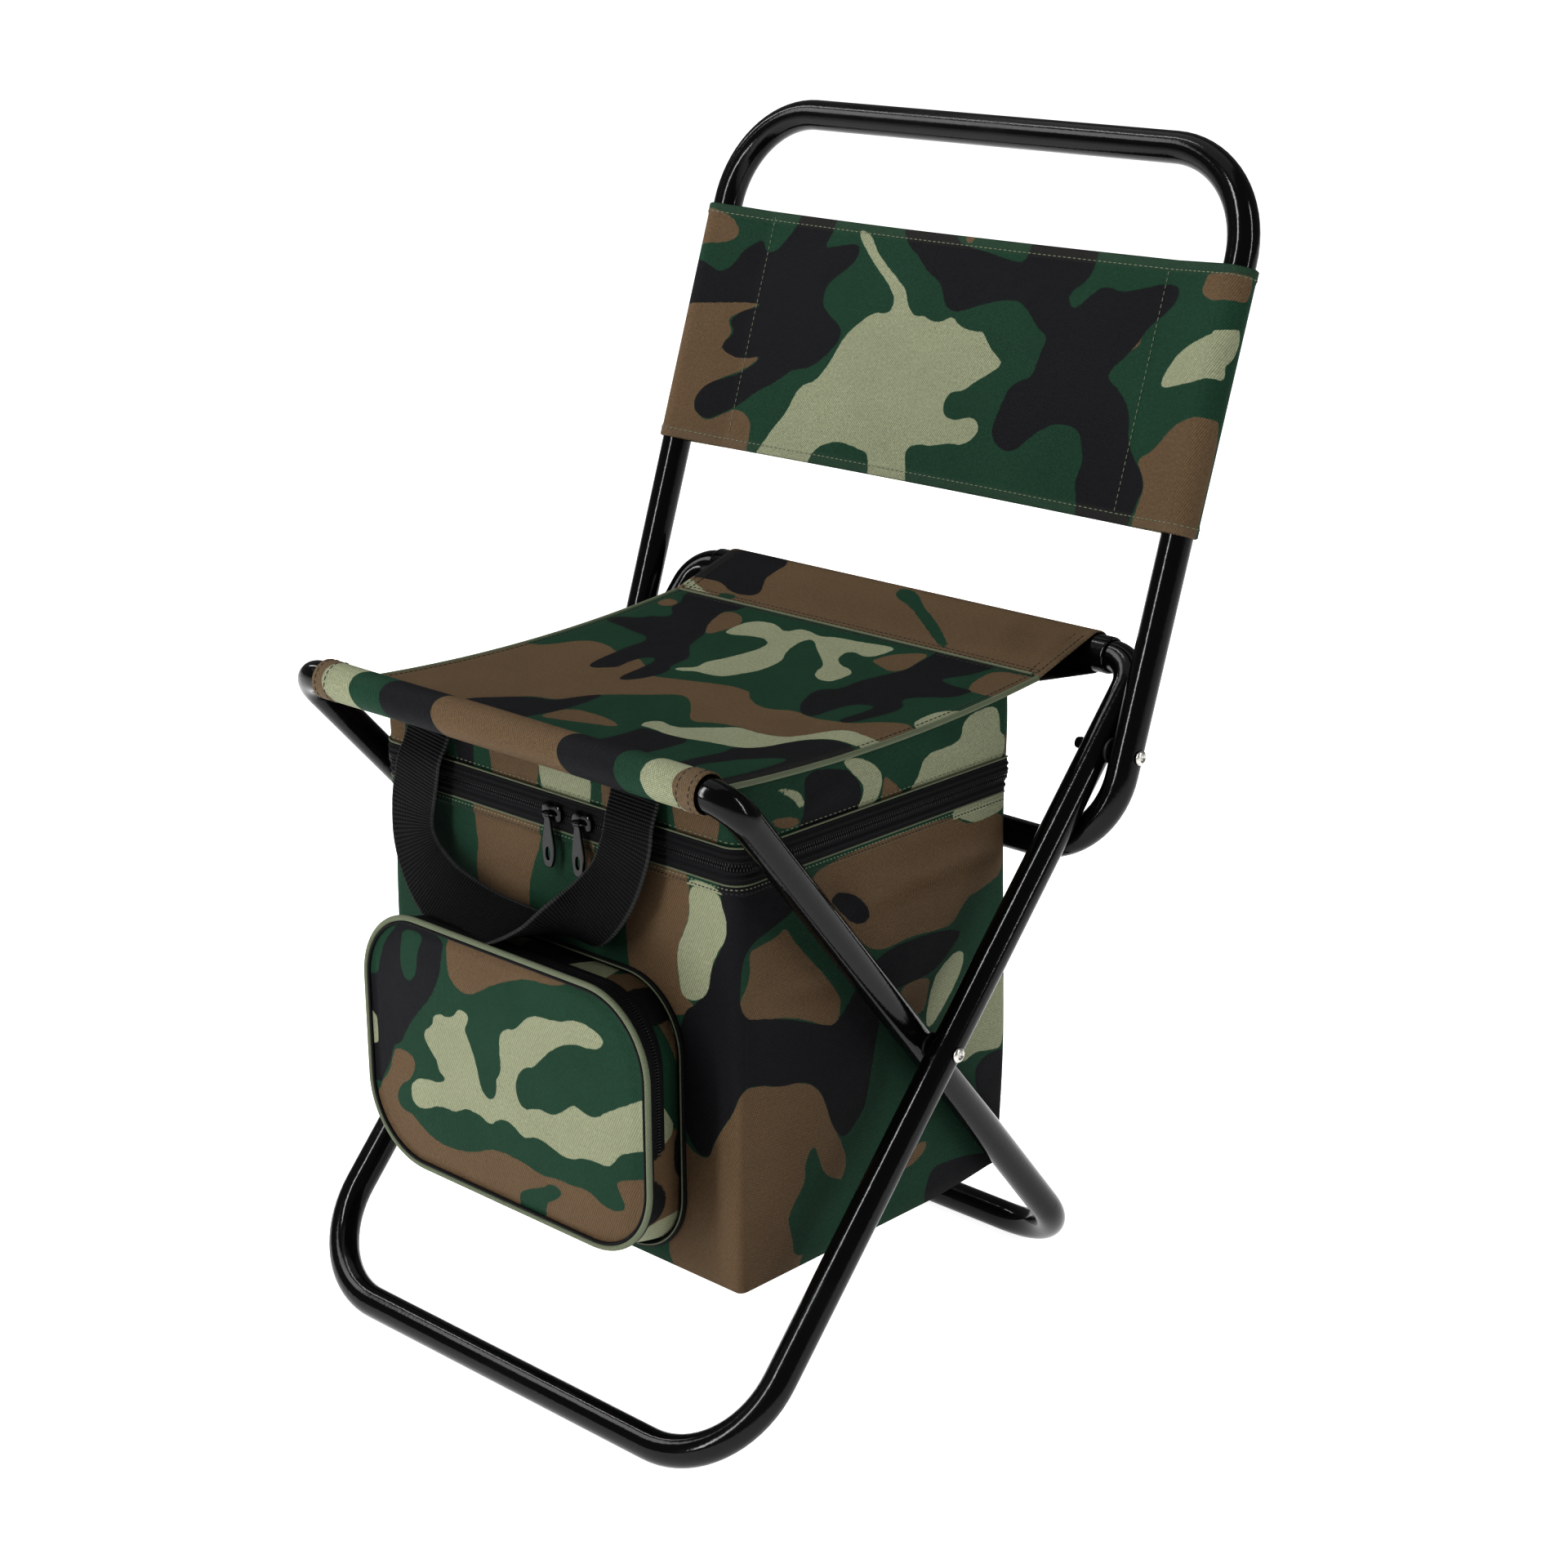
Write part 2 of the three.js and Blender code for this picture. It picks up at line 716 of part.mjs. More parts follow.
const barStandoff = sliderThickness + fitGap + bailBarRadius + fitGap + barrelWall;
const barrelBore = bailBarRadius + fitGap;
const barrelRadius = barrelBore + barrelWall;

// Drawn facing -Y, lengthwise along X, with its back at y = 0; the bail's bar lies along or across it
function sliderBody(barTurn) {
  const half = sliderLength / 2;
  const wide = sliderWidth / 2;
  const waist = wide * sliderWaistShare;
  const outline = new THREE.Shape();
  outline.moveTo(-half, -waist);
  outline.quadraticCurveTo(-half, -wide, -half / 2, -wide);
  outline.quadraticCurveTo(0, -waist, half / 2, -wide);
  outline.quadraticCurveTo(half, -wide, half, -waist);
  outline.lineTo(half, waist);
  outline.quadraticCurveTo(half, wide, half / 2, wide);
  outline.quadraticCurveTo(0, waist, -half / 2, wide);
  outline.quadraticCurveTo(-half, wide, -half, waist);
  outline.closePath();
  const plate = new THREE.ExtrudeGeometry(outline, {
    depth: sliderThickness,
    bevelEnabled: false,
    curveSegments: 3,
  });
  plate.rotateX(Math.PI / 2);
  const post = bailSpan / 2;
  const corners = [
    new THREE.Vector3(-post, -sliderThickness / 2, 0),
    new THREE.Vector3(-post, -barStandoff, 0),
    new THREE.Vector3(post, -barStandoff, 0),
    new THREE.Vector3(post, -sliderThickness / 2, 0),
  ];
  const bend = { radius: bailBarRadius * 2, step: Math.PI / 6 };
  const bail = sweep(
    tubeSection(bailBarRadius, pipingSides),
    bentStations(corners, [bend, bend]),
    new THREE.Vector3(0, 0, 1),
  );
  bail.rotateY(barTurn);
  return fromSolid(toSolid(plate).add(toSolid(bail)));
}

// Drawn hanging from the origin, its barrel round the X axis
function sliderPull() {
  const top = pullTopWidth / 2;
  const wide = pullWidth / 2;
  const outline = new THREE.Shape();
  outline.moveTo(-top, -barrelBore - barrelWall / 2);
  outline.quadraticCurveTo(-wide, -pullLength / 2, -wide, wide - pullLength);
  outline.absarc(0, wide - pullLength, wide, Math.PI, 2 * Math.PI);
  outline.quadraticCurveTo(wide, -pullLength / 2, top, -barrelBore - barrelWall / 2);
  outline.closePath();
  const window = new THREE.Path();
  const windowHalf = pullWindowWidth / 2;
  const windowLow = pullWindowRise + windowHalf - pullLength;
  const windowHigh = windowLow + pullWindowLength - pullWindowWidth;
  window.absarc(0, windowHigh, windowHalf, 0, Math.PI);
  window.absarc(0, windowLow, windowHalf, Math.PI, 2 * Math.PI);
  outline.holes.push(window);
  const plate = new THREE.ExtrudeGeometry(outline, {
    depth: pullThickness,
    bevelEnabled: false,
    curveSegments: 5,
  });
  plate.rotateX(Math.PI / 2).translate(0, pullThickness / 2, 0);
  const ring = [
    new THREE.Vector2(barrelBore, -barrelLength / 2),
    new THREE.Vector2(barrelRadius, -barrelLength / 2),
    new THREE.Vector2(barrelRadius, barrelLength / 2),
    new THREE.Vector2(barrelBore, barrelLength / 2),
    new THREE.Vector2(barrelBore, -barrelLength / 2),
  ];
  const barrel = turnedAlongX(ring, sideView(0, 0));
  const bore = toSolid(barAlongX(barrelBore, -pullWidth, pullWidth, sideView(0, 0)));
  return fromSolid(toSolid(plate).subtract(bore).add(toSolid(barrel)));
}

const sliderBack = zipFace - fitGap;
const sliderPlaces = {
  left: sliderOffset - sliderSpacing / 2,
  right: sliderOffset + sliderSpacing / 2,
};

// Carry handle: a U of webbing that leans forward from its sewn ends and is folded narrower at the bottom

function carryHandle() {
  const outerHalf = handleHalf + webWidth / 2;
  const innerHalf = handleHalf - webWidth / 2;
  const innerDrop = handleDrop - handleFoldWidth;
  const outline = new THREE.Shape();
  outline.moveTo(outerHalf, 0);
  outline.lineTo(outerHalf, handleBend - handleDrop);
  outline.absarc(outerHalf - handleBend, handleBend - handleDrop, handleBend, 0, -Math.PI / 2, true);
  outline.absarc(handleBend - outerHalf, handleBend - handleDrop, handleBend, -Math.PI / 2, -Math.PI, true);
  outline.lineTo(-outerHalf, 0);
  outline.lineTo(-innerHalf, 0);
  const innerMiddle = innerHalf - innerHandleBend;
  outline.absarc(-innerMiddle, innerHandleBend - innerDrop, innerHandleBend, Math.PI, 1.5 * Math.PI);
  outline.absarc(innerMiddle, innerHandleBend - innerDrop, innerHandleBend, -Math.PI / 2, 0);
  outline.lineTo(innerHalf, 0);
  outline.closePath();
  const web = new THREE.ExtrudeGeometry(outline, {
    depth: webThickness,
    bevelEnabled: false,
    curveSegments: handleSteps,
  });
  web.rotateX(Math.PI / 2).translate(0, webThickness / 2, 0);
  return web;
}

// Front pocket: a gusset that widens and rises towards its face

// A rounded outline, in X and Z, a share of the way from the bag to the face, grown by a margin
function pocketOutline(share, margin) {
  const half = pocketHalfWidth + pocketFlare * share + margin;
  const low = pocketLow + pocketLiftLow * share - margin;
  const high = pocketHigh + pocketLiftHigh * share + margin;
  const radius = pocketCorner + pocketCornerGain * share + margin;
  const centres = [[1, low + radius], [1, high - radius], [-1, high - radius], [-1, low + radius]];
  return centres.flatMap(([side, z], quarter) => Array.from({ length: pocketCornerSteps + 1 }, (_, k) => {
    const angle = (quarter - 1 + k / pocketCornerSteps) * (Math.PI / 2);
    const x = side * (half - radius) + radius * Math.cos(angle);
    return new THREE.Vector3(x, 0, z + radius * Math.sin(angle));
  }));
}

const pocketBack = bagFront - fitGap;
const pocketDepthAt = (share) => pocketBack - pocketDepth * share;

// A closed block between two shares of the pocket's depth
function pocketBlock(backShare, frontShare, margin) {
  const back = pocketOutline(backShare, margin);
  const front = pocketOutline(frontShare, margin);
  const shape = new THREE.Shape(back.map((point) => new THREE.Vector2(point.x, point.z)));
  const block = new THREE.ExtrudeGeometry(shape, { depth: pocketDepth, bevelEnabled: false });
  const position = block.attributes.position;
  const nearest = (x, z) => back.findIndex((point) => Math.hypot(point.x - x, point.z - z) < fitGap / 10);
  for (let i = 0; i < position.count; i += 1) {
    const index = nearest(position.getX(i), position.getY(i));
    const atFront = position.getZ(i) > pocketDepth / 2;
    const place = atFront ? front[index] : back[index];
    position.setXYZ(i, place.x, pocketDepthAt(atFront ? frontShare : backShare), place.z);
  }
  return toSolid(block);
}

const gussetFront = (pocketDepth - pocketWall - fitGap) / pocketDepth;

function pocketGusset() {
  const overrun = cutOverrun / pocketDepth;
  const hollow = pocketBlock(-overrun, 1 + overrun, -pocketWall);
  return fromSolid(pocketBlock(0, gussetFront, 0).subtract(hollow));
}

function pocketFace() {
  return fromSolid(pocketBlock(gussetFront + fitGap / pocketDepth, 1, -fitGap));
}

// The zip band lies on the gusset's top and sides and stops short of its bottom
function pocketZip() {
  const overrun = cutOverrun / pocketDepth;
  const band = pocketBlock(pocketZipBackShare, pocketZipFrontShare, fitGap + pocketZipProud);
  const ring = band.subtract(pocketBlock(-overrun, 1 + overrun, fitGap));
  const below = new THREE.BoxGeometry(4 * pocketHalfWidth, 4 * pocketDepth, pocketZipLow);
  below.translate(0, pocketBack, pocketZipLow / 2);
  return fromSolid(ring.subtract(toSolid(below)));
}

// A cord round one of the pocket's outlines
function pocketCord(share, margin, radius, y) {
  const outline = pocketOutline(share, margin);
  const middle = outline.filter((point) => point.x >= 0);
  const low = new THREE.Vector3(0, 0, middle[0].z);
  const high = new THREE.Vector3(0, 0, middle.at(-1).z);
  const points = [low, ...middle, high].map((point) => new THREE.Vector3(point.x, y, point.z));
  const stations = points.map((point, k) => {
    const before = points[Math.max(k - 1, 0)];
    const after = points[Math.min(k + 1, points.length - 1)];
    const ends = k === 0 || k === points.length - 1;
    const tangent = ends ? new THREE.Vector3(k === 0 ? 1 : -1, 0, 0) : after.clone().sub(before).normalize();
    return { point, tangent };
  });
  const half = sweep(tubeSection(radius, pipingSides), stations, new THREE.Vector3(0, -1, 0));
  return fromSolid(bothHalves(half));
}

function pocketPiping() {
  return pocketCord(1, pocketPipingRadius, pocketPipingRadius, pocketDepthAt(1));
}

function pocketBinding() {
  const share = bindingRadius / pocketDepth;
  const slant = Math.hypot(pocketDepth, pocketFlare) / pocketDepth;
  const margin = (fitGap + bindingRadius) * slant;
  return pocketCord(share, margin, bindingRadius, pocketBack - bindingRadius);
}

// The stool

const stool = new THREE.Group();
stool.position.y = originShift;

function place(parent, name, geometry, material) {
  const mesh = new THREE.Mesh(geometry, material);
  mesh.name = name;
  parent.add(mesh);
  return mesh;
}

function placePair(parent, name, geometry, material) {
  place(parent, `${name}_right`, geometry, material);
  place(parent, `${name}_left`, mirrored(geometry), material);
}

place(stool, 'front_leg_frame', frontLegFrame(), blackSteel);
place(stool, 'rear_seat_rail', rearSeatRail(), blackSteel);
place(stool, 'rear_leg_frame', rearLegFrame(), blackSteel);
place(stool, 'backrest_frame', backrestFrame(), blackSteel);

const crossingHalf = rearFrameHalfAt(crossing.y);
const crossingRivet = rivet(crossing, frontFrameHalf, crossingHalf, crossingTailLength);
placePair(stool, 'crossing_rivet', crossingRivet, bareSteel);
placePair(stool, 'crossing_washer', washer(crossing, crossingHalf), blackNylon);
const backrestRivet = rivet(backPivot, backHalf, frontFrameHalf, backTailLength);
placePair(stool, 'backrest_rivet', backrestRivet, bareSteel);
placePair(stool, 'backrest_washer', washer(backPivot, frontFrameHalf), blackNylon);

place(stool, 'seat_panel', seatPanel(), camoCloth);
placePair(stool, 'seat_piping', seatPiping(), greenTrim);
place(stool, 'front_rail_sleeve', frontRailSleeve(), camoCloth);
place(stool, 'rear_rail_sleeve', rearRailSleeve(), camoCloth);
place(stool, 'backrest_cover', backrestCover(), camoCloth);

place(stool, 'bag_lid_band', bagLidBand(), camoCloth);
place(stool, 'lid_insulation', lidInsulation(), foam);
place(stool, 'zip_upper_tape', zipUpperTape(), blackTape);
place(stool, 'zip_lower_tape', zipLowerTape(), blackTape);
place(stool, 'bag_body', bagBody(), camoCloth);
place(stool, 'base_board', baseBoard(), board);
place(stool, 'bag_insulation', bagInsulation(), foam);
place(stool, 'bag_liner', bagLiner(), foil);

Object.entries(sliderPlaces).forEach(([side, x]) => {
  const slider = place(stool, `zip_slider_${side}`, sliderBody(0), blackSteel);
  slider.position.set(x, sliderBack, zipLineHeight);
  const pull = place(stool, `zip_pull_${side}`, sliderPull(), blackSteel);
  pull.position.set(x, sliderBack - barStandoff, zipLineHeight);
});

const handle = place(stool, 'carry_handle', carryHandle(), blackTape);
handle.position.set(handleOffset, bagFront - fitGap - webThickness / 2, handleHeight);
handle.rotation.x = -handleLean;

place(stool, 'pocket_gusset', pocketGusset(), camoCloth);
place(stool, 'pocket_face', pocketFace(), camoCloth);
place(stool, 'pocket_zip', pocketZip(), blackTape);
place(stool, 'pocket_piping', pocketPiping(), greenTrim);
place(stool, 'pocket_binding', pocketBinding(), blackTape);

// The pocket's slider runs up and down the left side of its zip, turned to face out from the gusset
const pocketZipShare = (pocketZipBackShare + pocketZipFrontShare) / 2;
const pocketSide = pocketHalfWidth + pocketFlare * pocketZipShare + 2 * fitGap + pocketZipProud;
const pocketSlider = new THREE.Group();
pocketSlider.position.set(-pocketSide, pocketDepthAt(pocketZipShare), pocketSliderHeight);
pocketSlider.rotation.z = -Math.PI / 2 - Math.atan2(pocketFlare, pocketDepth);
stool.add(pocketSlider);
const upright = sliderBody(Math.PI / 2).rotateY(-Math.PI / 2);
place(pocketSlider, 'pocket_zip_slider', upright, blackSteel);
const pocketPull = place(pocketSlider, 'pocket_zip_pull', sliderPull(), blackSteel);
pocketPull.position.y = -barStandoff;

export default stool;
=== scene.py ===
"""Folding cooler stool: the finished look of every piece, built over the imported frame."""

import math
import re

import bpy
import numpy as np
from mathutils import Matrix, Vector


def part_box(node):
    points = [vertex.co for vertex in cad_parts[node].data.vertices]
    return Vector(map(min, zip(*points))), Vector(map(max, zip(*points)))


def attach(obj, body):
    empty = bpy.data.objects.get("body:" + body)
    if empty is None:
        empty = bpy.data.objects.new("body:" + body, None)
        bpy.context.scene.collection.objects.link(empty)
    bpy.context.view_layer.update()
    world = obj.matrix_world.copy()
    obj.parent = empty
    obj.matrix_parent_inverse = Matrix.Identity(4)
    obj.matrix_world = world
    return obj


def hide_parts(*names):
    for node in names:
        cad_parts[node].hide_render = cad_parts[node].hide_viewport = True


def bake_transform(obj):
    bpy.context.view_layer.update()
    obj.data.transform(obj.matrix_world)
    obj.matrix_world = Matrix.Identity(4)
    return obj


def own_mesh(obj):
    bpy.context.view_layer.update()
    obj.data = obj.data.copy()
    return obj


bl_info = {
    "name": "Folding Cooler Stool",
    "version": (1, 0, 0),
    "blender": (4, 5, 0),
    "location": "3D View > Sidebar > Stool",
    "description": "Dresses a folding stool with a cooler bag under its seat",
    "category": "Object",
}

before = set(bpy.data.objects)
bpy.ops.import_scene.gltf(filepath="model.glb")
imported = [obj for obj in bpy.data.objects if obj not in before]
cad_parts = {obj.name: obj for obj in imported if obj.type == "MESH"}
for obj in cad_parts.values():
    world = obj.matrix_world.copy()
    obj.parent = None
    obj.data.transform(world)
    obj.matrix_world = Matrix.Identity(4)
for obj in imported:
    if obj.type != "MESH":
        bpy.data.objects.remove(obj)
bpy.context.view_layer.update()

MM = 0.001


def centre(node):
    """Middle of a CAD node's box in millimetres."""
    low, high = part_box(node)
    return np.array(low + high) / (2 * MM)


# Side view of the frame, y counted from the part's own origin, in millimetres
SHIFT = centre("rear_seat_rail")[1] - 144.5
TUBE = 8.0
FRONT_FOOT, REAR_RAIL = np.array([-150.4, 8.0]), np.array([144.5, 338.3])
REAR_FOOT, FRONT_RAIL = np.array([147.0, 8.0]), np.array([-139.0, 335.7])
CROSSING = np.array([-0.01, 176.444])
LEG_HALF, BACK_HALF = 153.478, 171.591
REAR_FOOT_HALF, REAR_TOP_HALF = 122.0, 148.0
BACK_PIVOT = np.array([112.061, 301.967])
BACK_UP = np.array([math.sin(math.radians(18.73)), math.cos(math.radians(18.73))])
BACK_TOP, CROSS_BAR = BACK_PIVOT + 294 * BACK_UP, BACK_PIVOT - 52 * BACK_UP
COVER_LOW, COVER_HIGH = 109.0, 239.0
COVER_MIDDLE = (COVER_LOW + COVER_HIGH) / 2
BIG_BEND, BASE_BEND, RAIL_BEND, RAIL_STUB = 52.0, 42.0, 16.0, 38.0

# Seat and bag
SEAT_FRONT, SEAT_REAR = np.array([-128.343, 332.957]), np.array([99.5, 335.342])
SEAT_HALF, SEAT_SAG = 124.0, 26.0
BAG_FRONT, BAG_BACK, BAG_HALF = -108.8, 84.2, 124.0
BAG_MIDDLE = np.array([0, (BAG_FRONT + BAG_BACK) / 2])
ZIP_LINE, LID_SEAM, MOUTH, FLOOR = 290.03, 298.03, 281.03, 77.03
POCKET_HALF, POCKET_LOW, POCKET_HIGH, POCKET_CORNER = 84.0, 84.03, 221.03, 32.0
POCKET_BACK, POCKET_DEPTH, POCKET_ZIP_LOW = -109.1, 36.0, 149.1
POCKET_WIDER, POCKET_LIFT_LOW, POCKET_LIFT_HIGH, POCKET_ROUNDER = 15.0, 14.0, 6.0, 6.0
POCKET_STEPS, POCKET_STEP = 220, 3.05

# Camera: its place in metres, and its turn, tilt and roll in degrees
EYE, VIEW_TURNS = (0.99296, -1.02339, 0.74304), (43.4995, 18.3936, -0.304)

